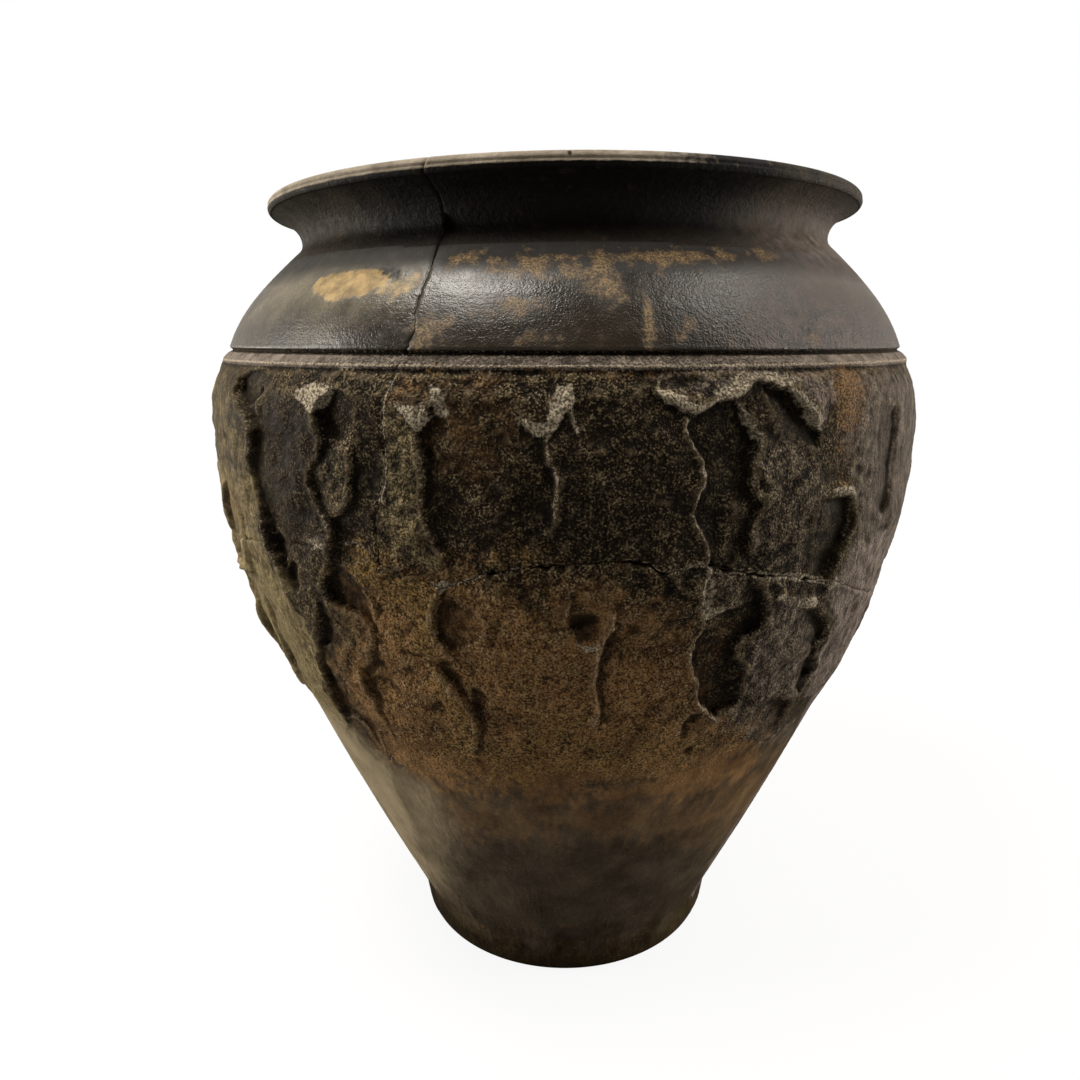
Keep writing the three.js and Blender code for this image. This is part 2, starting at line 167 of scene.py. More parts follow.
# Edges of the slip's drapes, rise in mm. Lines run downwards, proud on the west or east, or left to right,
# proud above or below.
drapes = [
    {"proud": "west", "rise": 2.3, "pale": 0.35, "line": [
        (244, 370), (238, 380), (238, 392), (243, 405), (250, 418), (256, 430), (255, 445), (257, 465),
        (259, 485), (263, 502), (268, 518), (272, 532), (274, 546), (281, 560), (286, 575), (293, 588),
        (304, 597)]},
    {"proud": "west", "rise": 2.0, "line": [
        (334, 386), (327, 399), (318, 413), (322, 427), (323, 440), (320, 455), (313, 470), (313, 482),
        (318, 494), (324, 508), (334, 522), (338, 534), (337, 548), (331, 562), (327, 578), (328, 592),
        (334, 601), (346, 606), (360, 614), (374, 629)]},
    {"proud": "west", "rise": 0.9, "line": [
        (350, 440), (353, 452), (354, 466), (351, 482), (353, 496), (352, 507), (343, 514), (331, 520)]},
    {"proud": "west", "rise": 1.3, "line": [
        (362, 588), (372, 600), (375, 614), (374, 630), (374, 645), (371, 660), (360, 670)]},
    {"proud": "west", "rise": 1.8, "line": [
        (352, 662), (364, 678), (371, 692), (378, 702), (383, 715), (388, 729), (390, 740)]},
    {"proud": "west", "rise": 2.2, "line": [
        (320, 600), (322, 614), (325, 628), (322, 641), (320, 656), (324, 669), (332, 684), (338, 699),
        (342, 713), (344, 727), (345, 738)]},
    {"proud": "west", "rise": 1.5, "line": [
        (344, 718), (356, 718), (366, 727), (372, 738), (378, 750), (390, 762)]},
    {"proud": "west", "rise": 2.1, "pale": 0.75, "line": [
        (440, 386), (437, 402), (429, 418), (418, 432), (420, 445), (424, 460), (427, 480), (425, 500),
        (426, 515), (430, 530), (437, 543), (445, 556), (450, 572)]},
    {"proud": "west", "rise": 1.7, "line": [
        (446, 572), (441, 590), (437, 605), (435, 625), (438, 640), (448, 652), (454, 664)]},
    {"proud": "west", "rise": 1.7, "line": [
        (430, 660), (444, 674), (455, 685), (464, 697), (473, 706), (479, 719), (481, 735), (478, 750),
        (470, 766)]},
    {"proud": "east", "rise": 0.6, "line": [(466, 604), (476, 614), (481, 628), (478, 642), (468, 652)]},
    {"proud": "above", "rise": 0.9, "line": [(396, 404), (408, 416), (418, 432), (428, 420)]},
    {"proud": "above", "rise": 1.3, "line": [
        (508, 408), (518, 417), (530, 428), (543, 438), (552, 431), (560, 421), (566, 409), (569, 398)]},
    {"proud": "east", "rise": 0.9, "line": [(556, 386), (550, 398), (550, 410)]},
    {"proud": "west", "rise": 1.0, "line": [(573, 382), (573, 396), (573, 410), (577, 434)]},
    {"proud": "east", "rise": 1.2, "pale": 0.65, "line": [
        (544, 436), (545, 450), (549, 465), (556, 479), (557, 494), (554, 508), (550, 520), (547, 536)]},
    {"proud": "above", "rise": 2.2, "line": [
        (648, 382), (658, 396), (672, 404), (686, 410), (698, 413), (709, 409), (718, 401), (734, 400),
        (745, 393), (754, 383), (763, 380), (775, 388), (787, 391), (797, 401), (805, 414), (813, 425),
        (822, 430)]},
    {"proud": "west", "rise": 1.9, "pale": 1.0, "line": [
        (700, 413), (691, 424), (691, 436), (698, 449), (706, 461), (708, 476), (704, 490), (697, 503),
        (695, 513), (698, 523), (704, 532), (709, 546), (711, 565), (710, 580), (706, 592), (703, 606),
        (708, 620), (706, 631), (697, 642), (692, 652), (694, 667), (698, 682), (698, 696), (702, 706),
        (713, 713), (722, 720)]},
    {"proud": "east", "rise": 2.1, "pale": 0.85, "line": [
        (738, 398), (741, 412), (748, 427), (758, 439), (757, 451), (752, 465), (751, 480), (754, 492),
        (761, 506), (753, 519), (748, 532), (747, 548), (749, 562)]},
    {"proud": "east", "rise": 0.9, "line": [(751, 478), (763, 480), (764, 490), (757, 498)]},
    {"proud": "above", "rise": 1.0, "line": [(704, 624), (711, 617), (726, 612), (742, 609), (757, 601)]},
    {"proud": "east", "rise": 2.1, "line": [
        (748, 574), (757, 587), (763, 600), (764, 613), (760, 625), (750, 634), (740, 638), (734, 646),
        (733, 656), (738, 664), (742, 671), (737, 681), (735, 692), (741, 702)]},
    {"proud": "below", "rise": 1.4, "line": [(704, 708), (714, 714), (726, 707), (736, 701), (746, 692)]},
    {"proud": "east", "rise": 1.9, "line": [
        (836, 490), (850, 495), (853, 510), (849, 528), (842, 545), (832, 561), (822, 578), (816, 592)]},
    {"proud": "east", "rise": 1.4, "line": [
        (800, 600), (812, 609), (822, 622), (823, 635), (814, 645), (811, 656), (812, 668), (801, 680),
        (794, 694)]},
    {"proud": "east", "rise": 1.5, "line": [
        (776, 692), (786, 705), (784, 715), (779, 723), (781, 734), (772, 742), (756, 744)]},
    {"proud": "east", "rise": 0.9, "line": [
        (893, 396), (895, 412), (894, 450), (890, 480), (883, 506), (876, 526)]},
    {"proud": "west", "rise": 1.7, "line": [(866, 560), (862, 590), (852, 625), (838, 655), (822, 690)]},
    {"proud": "west", "rise": 1.1, "line": [
        (600, 604), (615, 613), (614, 628), (607, 640), (602, 652), (597, 668), (594, 682), (597, 696),
        (601, 708), (598, 722), (594, 738)]},
    {"proud": "west", "rise": 0.6, "line": [(574, 588), (570, 604), (567, 620), (572, 636)]},
    {"proud": "above", "rise": 0.6, "line": [(655, 572), (668, 580), (684, 594), (702, 600)]},
    {"proud": "west", "rise": 1.5, "line": [(262, 590), (272, 612), (286, 645), (297, 668), (304, 690)]},
    {"proud": "west", "rise": 1.3, "line": [(228, 470), (232, 505), (240, 540), (252, 566)]},
    {"proud": "above", "rise": 2.4, "taper": 1.5, "line": [(238, 562), (250, 568), (262, 575)]},
    {"proud": "above", "rise": 2.2, "taper": 1.5, "line": [(284, 672), (298, 684), (310, 694)]},
]
# Hollows and flakes by outline, depth in mm (minus stands proud) and where they are deepest: east and up
hollows = [
    {"depth": 2.2, "deep": (-1, 0.5), "outline": [
        (247, 371), (240, 379), (239, 392), (245, 405), (253, 401), (262, 393), (271, 380), (262, 371)]},
    {"depth": 1.7, "deep": (-1, 0.4), "outline": [
        (334, 391), (322, 402), (318, 414), (322, 428), (323, 439), (338, 441), (352, 438), (356, 420),
        (353, 402), (344, 394)]},
    {"depth": -1.1, "deep": (1, -0.6), "outline": [
        (321, 444), (318, 462), (313, 473), (317, 490), (325, 508), (332, 519), (345, 513), (354, 504),
        (351, 486), (354, 466), (351, 448), (338, 443)]},
    {"depth": 1.9, "deep": (-1, -0.6), "outline": [
        (336, 566), (327, 580), (328, 592), (333, 600), (345, 606), (358, 613), (368, 622), (375, 630),
        (375, 614), (370, 600), (362, 588), (352, 577), (343, 568)]},
    {"depth": 1.0, "deep": (-1, -0.2), "outline": [
        (440, 602), (437, 625), (441, 643), (450, 650), (466, 648), (478, 640), (480, 628), (474, 614),
        (462, 606)]},
    {"depth": 2.2, "deep": (0.8, 1), "outline": [
        (768, 388), (786, 391), (797, 402), (806, 415), (813, 424), (819, 434), (818, 447), (802, 441),
        (790, 431), (776, 420), (771, 406)]},
    {"depth": 1.8, "deep": (1, 0.3), "outline": [
        (818, 499), (850, 498), (851, 514), (847, 530), (840, 546), (831, 560), (821, 577), (812, 574),
        (812, 550), (814, 520), (820, 505)]},
    {"depth": 0.9, "deep": (1, 0), "outline": [
        (878, 404), (893, 406), (893, 450), (889, 480), (882, 512), (874, 515), (874, 480), (877, 440)]},
    {"depth": 1.5, "deep": (1, 0), "outline": [
        (726, 618), (742, 612), (757, 601), (757, 589), (764, 602), (764, 614), (759, 626), (749, 635),
        (735, 637), (722, 629)]},
    {"depth": 1.1, "deep": (-0.6, 0), "outline": [
        (706, 634), (697, 643), (694, 660), (698, 680), (699, 700), (713, 712), (728, 704), (735, 692),
        (737, 672), (732, 655), (735, 642), (724, 632)]},
    {"depth": 1.4, "deep": (-1, 0.5), "outline": [
        (701, 712), (690, 715), (682, 724), (680, 738), (684, 746), (689, 740), (690, 730), (696, 720)]},
    {"depth": 1.4, "deep": (1, 0.3), "outline": [
        (803, 610), (816, 614), (823, 626), (822, 636), (813, 645), (802, 640), (799, 624)]},
    {"depth": 1.2, "deep": (1, -0.3), "outline": [
        (812, 655), (812, 668), (801, 680), (795, 691), (789, 682), (796, 664)]},
    {"depth": 1.5, "deep": (1, -0.5), "outline": [
        (750, 718), (758, 706), (772, 700), (785, 704), (784, 716), (779, 724), (781, 734), (772, 742),
        (757, 742), (749, 732)]},
    {"depth": 1.4, "deep": (-1, 0.3), "outline": [
        (321, 603), (325, 628), (322, 645), (333, 642), (334, 620), (329, 606)]},
    {"depth": 1.4, "deep": (-1, -0.3), "outline": [
        (377, 734), (381, 748), (389, 758), (397, 750), (395, 738), (386, 731)]},
    {"depth": 0.9, "deep": (-0.5, 1), "outline": [
        (344, 722), (352, 719), (360, 724), (358, 731), (348, 733)]},
    {"depth": 1.6, "deep": (-1, 0), "outline": [
        (286, 568), (290, 582), (300, 591), (305, 580), (300, 567), (291, 561)]},
    {"depth": 1.3, "deep": (-1, 0), "outline": [
        (273, 536), (277, 552), (283, 561), (289, 552), (285, 540), (279, 532)]},
    {"depth": 0.9, "deep": (0, 1), "outline": [
        (662, 386), (676, 377), (704, 376), (718, 386), (713, 397), (696, 398), (676, 395)]},
    {"depth": 1.3, "deep": (0, 1), "outline": [
        (692, 424), (702, 415), (718, 403), (736, 402), (742, 418), (752, 432), (757, 443), (750, 456),
        (748, 474), (712, 470), (706, 456), (694, 440)]},
    {"depth": 1.1, "deep": (-1, 0.5), "outline": [
        (420, 432), (430, 420), (441, 414), (448, 430), (442, 450), (431, 464), (425, 456), (420, 442)]},
    {"depth": 0.6, "deep": (0.4, 1), "outline": [
        (520, 426), (543, 439), (545, 452), (540, 468), (528, 454), (517, 438)]},
    {"depth": 0.9, "deep": (-0.3, 1), "outline": [
        (470, 690), (480, 692), (488, 700), (482, 716), (478, 712), (472, 700)]},
    {"depth": 0.7, "deep": (-1, 0.6), "outline": [
        (600, 640), (615, 622), (640, 626), (642, 660), (622, 690), (602, 702), (597, 684), (599, 660)]},
    {"depth": 0.8, "deep": (0.3, 1), "outline": [(552, 566), (566, 566), (566, 574), (556, 574)]},
    {"depth": 0.9, "deep": (0.5, 1), "outline": [
        (676, 576), (694, 567), (708, 570), (708, 588), (700, 600), (686, 592)]},
]
# Round dents and bosses: pixel, radius in mm, depth in mm (minus stands proud)
dents = [
    (587, 628, 3.3, 1.2), (257, 408, 1.9, -0.9), (736, 692, 1.9, -1.2), (778, 594, 1.6, -0.7),
    (807, 602, 2.2, -0.9), (828, 584, 1.8, -0.7), (385, 270, 2.0, 0.7), (393, 276, 1.3, 0.5),
    (258, 391, 1.0, 0.7), (690, 752, 1.4, 0.9), (440, 708, 2.2, 0.5), (884, 560, 2.6, 0.8),
    (858, 470, 1.5, 0.6), (576, 622, 1.5, 0.5), (479, 766, 1.5, 0.7), (590, 755, 1.8, 0.6),
]
dentTop = 154       # above this height in mm, dents don't repeat round the back
# Where the drapes repeat round the unseen back: turn in degrees, whether mirrored, and mm moved down
drapeTurns = [(0, False, 0.0), (124, True, 2.0), (-120, False, -1.5)]
drapeStep = {
    "width": 0.27,
    "reachUp": 15.0,
    "reachDown": 11.0,
    "endTaper": 5.0,
    "lipRise": 0.14,
    "lipPlace": (0.9, 0.8),       # how far from the edge the lip swells, and how wide
    "fullRise": 1.8,       # drapes as high as this are darkest below
    "wallDark": 0.85,
    "shadeDark": 0.42,
    "shadeReach": 0.8,
    "crestPale": 0.4,
    "crestAway": 0.5,
    "crestWide": 0.26,
    "scale": 1.0,
    "window": 34,       # how far from its line a drape is reckoned
}
hollowStep = {
    "width": 0.32,
    "wobble": 0.6,
    "fullDepth": 1.5,
    "shadeDark": 0.7,
    "crestPale": 0.5,
    "shallow": 0.12,       # share of the depth that is left on the shallow side
    "scale": 0.95,
    "window": 5,
}
# The slip's unevenness: random fields added up, as mm, width of their cells in degrees and height in mm
slipGrain = {
    "wobble": [(0.4, 3.2, 5.0), (0.25, 1.3, 2.1), (0.34, 0.6, 0.95)],       # how the drapes' edges wander
    "swell": [(0.4, 4.5, 8), (0.25, 1.9, 3.2)],       # how their height comes and goes
    "lumps": [(0.55, 11, 17), (0.38, 4.2, 7), (0.2, 1.8, 2.6)],
    "grain": [(0.13, 0.9, 1.4), (0.09, 0.45, 0.7)],
    "top": [(0.5, 2.5, 4)],       # how the slip's upper edge wanders
    "crest": [(0.6, 0.8, 1.2), (0.3, 0.4, 0.66)],       # how patchily the pale crests, rubbed wear and painted highlight, show
    "torn": [(0.8, 2.2, 3.4), (0.9, 0.9, 1.4), (0.6, 0.45, 0.7)],       # how ragged broken faces are
    "scar": [(0.12, 1.7, 2.6), (0.08, 0.6, 0.9)],       # how deep they lie
    "patchy": [(0.9, 1.6, 2.4), (0.5, 0.6, 0.9)],       # how patchily the breaks are rubbed
}

# The map of the slip: degrees round by mm up
mapCell = (0.2, 0.33)
mapLow, mapHigh = 0.0, 200.0
mapAngles = np.arange(0, round(360 / mapCell[0])) * mapCell[0] - 180
mapHeights = np.arange(mapLow, mapHigh, mapCell[1])
chance = np.random.default_rng(7)


def cloud(cellAngle, cellHeight):
    # smooth random field on the map, about -1 to 1, that joins up behind
    columns = max(4, int(round(360 / cellAngle)))
    rows = int((mapHigh - mapLow) / cellHeight) + 3
    knots = chance.uniform(-1, 1, (rows, columns))
    u = (mapAngles + 180) / 360 * columns
    v = (mapHeights - mapLow) / cellHeight
    i, j = v.astype(int), u.astype(int) % columns
    fv, fu = v - v.astype(int), u - np.floor(u)
    fv, fu = (fv * fv * (3 - 2 * fv))[:, None], (fu * fu * (3 - 2 * fu))[None, :]
    low = knots[i][:, j] * (1 - fu) + knots[i][:, (j + 1) % columns] * fu
    high = knots[i + 1][:, j] * (1 - fu) + knots[i + 1][:, (j + 1) % columns] * fu
    return low * (1 - fv) + high * fv


def clouds(level, name):
    # a level with the random fields of that name added
    for share, cellAngle, cellHeight in slipGrain[name]:
        level = level + share * cloud(cellAngle, cellHeight)
    return level


def soften(field, cells):
    # blurs the map by box averages, joined up behind
    span = 2 * cells + 1
    for _ in range(3):
        for axis, mode in ((0, "edge"), (1, "wrap")):
            pad = [(0, 0), (0, 0)]
            pad[axis] = (cells + 1, cells)
            total = np.cumsum(np.pad(field, pad, mode=mode), axis=axis)
            total = np.moveaxis(total, axis, 0)
            field = np.moveaxis((total[span:] - total[:-span]) / span, 0, axis)
    return field


def turnSpots(pixels, turn, mirrored, drop):
    spots = [spotOnJar(*pixel) for pixel in pixels]
    return [((-a if mirrored else a) + turn, z - drop) for a, z in spots]


def mapWindow(line, margin):
    # rows and columns of the map within a margin of a line, and the columns' own unwrapped angles
    angles, heights = [a for a, _ in line], [z for _, z in line]
    rows = np.nonzero((mapHeights > min(heights) - margin) & (mapHeights < max(heights) + margin))[0]
    spread = margin * 0.75
    columns = np.arange(int(np.floor((min(angles) - spread + 180) / mapCell[0])),
                        int(np.ceil((max(angles) + spread + 180) / mapCell[0])))
    return rows, columns % len(mapAngles), -180 + columns * mapCell[0]


def edgeDistance(line, angles, heights):
    # signed distance in mm from places on the map to a line, and how near the closest place is to its ends
    scale = np.radians(1) * (wallRadius(heights) + coat["middling"])[:, None]
    best = np.full((len(heights), len(angles)), np.inf)
    signed = best.copy()
    along = np.zeros_like(best)
    run = 0.0
    for (a0, z0), (a1, z1) in zip(line[:-1], line[1:]):
        dx = (a1 - a0) * scale
        dz = z1 - z0
        ox = (angles[None, :] - a0) * scale
        oz = heights[:, None] - z0
        length = np.hypot(dx, dz)
        t = np.clip((ox * dx + oz * dz) / length ** 2, 0, 1)
        distance = np.hypot(ox - t * dx, oz - t * dz)
        closer = distance < best
        best = np.where(closer, distance, best)
        signed = np.where(closer, np.sign(dx * oz - dz * ox) * distance, signed)
        along = np.where(closer, run + t * length, along)
        run = run + float(np.mean(length))
    return signed, np.minimum(along, run - along)


def drapeLift(drape, turn, mirrored, drop, wobble, swell):
    # one drape on the part of the map that it reaches: its lift, the painted shade on its wall and low side,
    # and its pale crest, partly rubbed wear and partly painted highlight
    sign = {"west": -1, "east": 1, "above": 1, "below": -1}[drape["proud"]] * (-1 if mirrored else 1)
    line = turnSpots(drape["line"], turn, mirrored, drop)
    rows, columns, angles = mapWindow(line, drapeStep["window"])
    side, toEnd = edgeDistance(line, angles, mapHeights[rows])
    side = (side + wobble[np.ix_(rows, columns)]) * sign
    step = 0.5 + 0.5 * np.tanh(side / drapeStep["width"])
    proud = step * 0.5 * np.exp(-np.maximum(side, 0) / drapeStep["reachUp"])
    sunk = (1 - step) * 0.5 * np.exp(-np.maximum(-side, 0) / drapeStep["reachDown"])
    lipAway, lipWide = drapeStep["lipPlace"]
    lip = drapeStep["lipRise"] * np.exp(-((side - lipAway) / lipWide) ** 2)
    taper = smooth(toEnd, 0, drape.get("taper", drapeStep["endTaper"]))
    taper = taper * swell[np.ix_(rows, columns)]
    strength = taper * min(1.0, drape["rise"] / drapeStep["fullRise"])
    wall = 1 - np.tanh(side / drapeStep["width"]) ** 2
    shade = (1 - step) * np.exp(-np.maximum(-side, 0) / drapeStep["shadeReach"])
    # painted shade: dark on the step's wall and on the low side below it
    paintedShade = strength * np.maximum(drapeStep["wallDark"] * wall, drapeStep["shadeDark"] * shade)
    fromCrest = (side - drapeStep["crestAway"]) / drapeStep["crestWide"]
    crest = taper * drape.get("pale", drapeStep["crestPale"]) * np.exp(-fromCrest ** 2)
    rise = drape["rise"] * drapeStep["scale"] * taper * (proud - sunk + lip * step)
    return rows, columns, rise, paintedShade, crest


def insideOutline(outline, angles, heights):
    # even-odd test of the map's places against a closed outline
    inside = np.zeros((len(heights), len(angles)), dtype=bool)
    for (a0, z0), (a1, z1) in zip(outline, outline[1:] + outline[:1]):
        if z0 == z1:
            continue
        spans = (z0 > heights[:, None]) != (z1 > heights[:, None])
        inside ^= spans & (angles[None, :] < a0 + (heights[:, None] - z0) / (z1 - z0) * (a1 - a0))
    return inside


def depthInside(outline, rows, columns, angles, wobble):
    # mm inside an outline, minus outside
    heights = mapHeights[rows]
    away, _ = edgeDistance(outline + outline[:1], angles, heights)
    away = np.where(insideOutline(outline, angles, heights), np.abs(away), -np.abs(away))
    return away + wobble[np.ix_(rows, columns)]


def hollowDepth(hollow, turn, mirrored, drop, wobble):
    # one hollow or flake likewise, deepest towards one side
    outline = turnSpots(hollow["outline"], turn, mirrored, drop)
    rows, columns, angles = mapWindow(outline, hollowStep["window"])
    away = depthInside(outline, rows, columns, angles, hollowStep["wobble"] * wobble)
    share = 0.5 + 0.5 * np.tanh(away / hollowStep["width"])
    east, up = hollow["deep"]
    east = -east if mirrored else east
    mmPerDegree = 1.6
    across = (angles[None, :] * mmPerDegree * east + mapHeights[rows][:, None] * up)
    ends = [a * mmPerDegree * east + z * up for a, z in outline]
    tilt = np.clip((across - min(ends)) / (max(ends) - min(ends)), 0, 1)
    outward = np.sign(hollow["depth"])
    strength = tilt * min(1.0, abs(hollow["depth"]) / hollowStep["fullDepth"])
    # painted shade on the hollow's wall and deep side, and a pale crest at its rim
    wall = 1 - np.tanh(away / hollowStep["width"]) ** 2
    shade = np.exp(-np.maximum(away * outward, 0) / drapeStep["shadeReach"])
    low = (share if outward > 0 else 1 - share) * shade
    fromCrest = (-away * outward - drapeStep["crestAway"]) / drapeStep["crestWide"]
    crest = hollowStep["crestPale"] * np.exp(-fromCrest ** 2) * tilt
    shallow = hollowStep["shallow"]
    lift = -hollow["depth"] * hollowStep["scale"] * share * (shallow + (1 - shallow) * tilt)
    return rows, columns, lift, strength * np.maximum(wall, hollowStep["shadeDark"] * low), crest


def makeSlipMap():
    # the slip's surface in mm over the turned wall, the painted shade in its recesses, and its pale crests,
    # partly rubbed wear and partly painted highlight
    wobble = clouds(0, "wobble")
    swell = np.clip(clouds(0.85, "swell"), 0.3, 1.3)
    lift = np.zeros((len(mapHeights), len(mapAngles)))
    paintedShade, crest, dented = lift.copy(), lift.copy(), lift.copy()
    for turn, mirrored, drop in drapeTurns:
        marks = [drapeLift(drape, turn, mirrored, drop, wobble, swell) for drape in drapes]
        marks += [hollowDepth(hollow, turn, mirrored, drop, wobble) for hollow in hollows]
        for rows, columns, rise, dark, pale in marks:
            spot = np.ix_(rows, columns)
            lift[spot] += rise
            paintedShade[spot] = np.maximum(paintedShade[spot], dark)
            crest[spot] = np.maximum(crest[spot], pale)
        for px, py, radius, depth in dents:
            (a, z), = turnSpots([(px, py)], turn, mirrored, drop)
            if turn and z > dentTop:
                continue
            away = fromAngle(mapAngles, a)
            near = np.hypot(away[None, :] * np.radians(1) * wallRadius(z), mapHeights[:, None] - z)
            bowl = np.exp(-(near / radius) ** 4)
            dented -= depth * bowl
            # painted shade inside the dents
            paintedShade = np.maximum(paintedShade, 0.7 * np.clip(depth, 0, 1) * bowl)
    lumps = clouds(0, "lumps")
    grain = clouds(0, "grain")
    # the sides are rubbed smoother
    worn = 1 - 0.5 * smooth(np.abs(np.sin(np.radians(mapAngles))), 0.7, 0.95)
    lumps, grain = lumps * worn, grain * worn
    heights = mapHeights[:, None]
    fade = smooth(heights, coat["foot"], coat["foot"] + coat["fade"])
    top = 1 - coat["thinTop"] * smooth(heights, coat["top"] - coat["upperFade"], coat["top"])
    body = coat["thickness"] * fade * top + (lift + dented) * fade + (lumps + grain) * (0.25 + 0.75 * fade)
    bare = 0.12 * lumps + 0.12 * grain + dented
    above = smooth(clouds(heights, "top"), coat["top"] - coat["topBlend"], coat["top"] + coat["topBlend"])
    made = np.maximum(body, grain - 0.1) * (1 - above) + bare * above
    crest = crest * np.clip(clouds(0.65, "crest"), 0, 1.2)
    return made, paintedShade, crest * (1 - 0.8 * paintedShade)


def readMap(field, angles, heights):
    u = ((angles + 180) % 360) / mapCell[0]
    v = np.clip((heights - mapLow) / mapCell[1], 0, len(mapHeights) - 1.001)
    i, j = v.astype(int), u.astype(int)
    fv, fu = v - i, u - j
    width = len(mapAngles)
    j = j % width
    k = (j + 1) % width
    low = field[i, j] * (1 - fu) + field[i, k] * fu
    high = field[i + 1, j] * (1 - fu) + field[i + 1, k] * fu
    return low * (1 - fv) + high * fv


slipMap, paintedShadeMap, crestRubAndHighlightMap = makeSlipMap()
lowest, highest = float(slipMap.min()), float(slipMap.max())
print("slip map made", slipMap.shape, "mm from", round(lowest, 2), "to", round(highest, 2))

# Breaks in degrees and mm
girthSpots = sorted(spotOnJar(*p) for p in girthBreakPixels) + girthBreakBehind
girthA = np.array([a for a, _ in girthSpots] + [girthSpots[0][0] + 360])
girthZ = np.array([z for _, z in girthSpots] + [girthSpots[0][1]])
frontSpots = sorted((z, a) for a, z in (spotOnJar(*p) for p in frontBreakPixels))
frontZ = np.array([z for z, _ in frontSpots])
frontA = np.array([a for _, a in frontSpots])
frontMean = -20.5
backMean = frontMean + 180
tinyAngles = np.arange(0, 360, 0.5)
tinyWander = chance.uniform(-1, 1, len(tinyAngles))
tallWander = chance.uniform(-1, 1, 300)


def girthBreakHeight(angles):
    turned = (angles - girthA[0]) % 360 + girthA[0]
    wander = np.interp(angles % 360, tinyAngles, tinyWander, period=360)
    return np.interp(turned, girthA, girthZ) + breakGap["wander"] * wander


def frontBreakAngle(heights):
    wander = np.interp(heights, np.linspace(60, 201, 300), tallWander)
    return np.interp(heights, frontZ, frontA) + breakGap["frontWander"] * wander


def chipAt(angles):
    # how far the edges of the girth break are chipped away, in mm
    chip = np.zeros_like(angles)
    girthRadius = 94
    for px, py, size, length in breakChips:
        a, _ = spotOnJar(px, py)
        chip += size * 0.5 * np.exp(-((angles - a) * np.radians(1) * girthRadius / length) ** 2)
    return chip


def moulded(z):
    # cordon and groove, in mm off the wall
    wide = np.where(z > moulding["crest"], moulding["above"], moulding["below"])
    rise = moulding["crestRise"] * np.exp(-((z - moulding["crest"]) / wide) ** 2)
    return rise - moulding["grooveDepth"] * np.exp(-((z - moulding["groove"]) / moulding["grooveWidth"]) ** 2)


def wheelMarks(z, angles):
    marks = np.sin(z * 4.1 + 0.4 * np.sin(np.radians(angles) * 2)) * 0.5 + np.sin(z * 9.7 + 1.3) * 0.3
    return 0.035 * marks


def surfaceLift(angles, heights):
    lift = readMap(slipMap, angles, heights)
    return lift + np.where(heights > moulding["from"], moulded(heights), 0) + wheelMarks(heights, angles)


def toXyz(angles, radii, heights):
    lean = jar["rimLean"] * smooth(heights, *jar["leanFrom"]) / jar["lip"]
    x = radii * np.sin(np.radians(angles))
    return np.stack([x, -radii * np.cos(np.radians(angles)), heights + lean * x], axis=-1) * mm


def spreadRows(*stretches):
    # heights or shares from (from, to, step) stretches, each without its end but the last
    parts = [np.arange(a, b, step) for a, b, step in stretches]
    return np.concatenate(parts + [[stretches[-1][1]]])


# How finely the pieces are meshed: rows in mm, columns in degrees
edgeRows = np.array([0, 0.12, 0.3, 0.55, 0.9, 1.4])       # from a broken edge
middleRows = np.linspace(0, 1, 42)[1:-1]
lipArc = np.radians(np.linspace(-60, 88, 24))
sherdMesh = {
    "edgeTo": 128.0,       # height up to which rows follow the break
    "rows": [(128.0, 154.6, 0.36), (154.6, 160.2, 0.2), (160.2, 162, 0.5)],
    "shoulderFrom": 162.6,
    "liftTo": 197.5,       # the lip above this is plain
    "breakNear": 116.0,
    "follow": 16,       # columns within this many degrees follow the front break's wander
    "innerTo": 150,
    "innerRows": (156.0, 162.0, 168.0, 173.0, 177.0),
    # the inner face of neck and rim: mm out from the throat and height, then mm out from the mouth and height
    "throat": [(0.0, 181.0), (0.0, 185.0), (0.8, 189.5), (2.8, 193.4), (5.6, 196.2), (8.2, 198.4)],
    "mouth": [(0.3, 199.6), (1.2, 200.0)],
}
columnStep = {"front": 0.2, "addedBehind": 0.25, "behindFrom": (80, 95), "walk": 0.02}
seamRadius = 95       # mm, at which distances from the upright breaks are reckoned
degreesInRadian = 57.3


def blendNeck(line):
    # rounds the corner between shoulder and rim
    reach = moulding["neckBlend"]
    made = line.copy()
    for k, (_, z) in enumerate(line):
        if abs(z - jar["neck"][1]) < 2 * reach:
            share = np.exp(-((line[:, 1] - z) / (0.6 * reach)) ** 2)
            middle = (line[:, 0] * share).sum() / share.sum()
            made[k, 0] += (middle - line[k, 0]) * np.exp(-((z - jar["neck"][1]) / reach) ** 2)
    return made


def seamAngles(mean, heights):
    # angles of columns at some heights: near the front break they follow its wander
    follow = 1 - smooth(np.abs(fromAngle(mean, frontMean)), 0, sherdMesh["follow"])
    return mean + follow * (frontBreakAngle(heights) - frontMean)


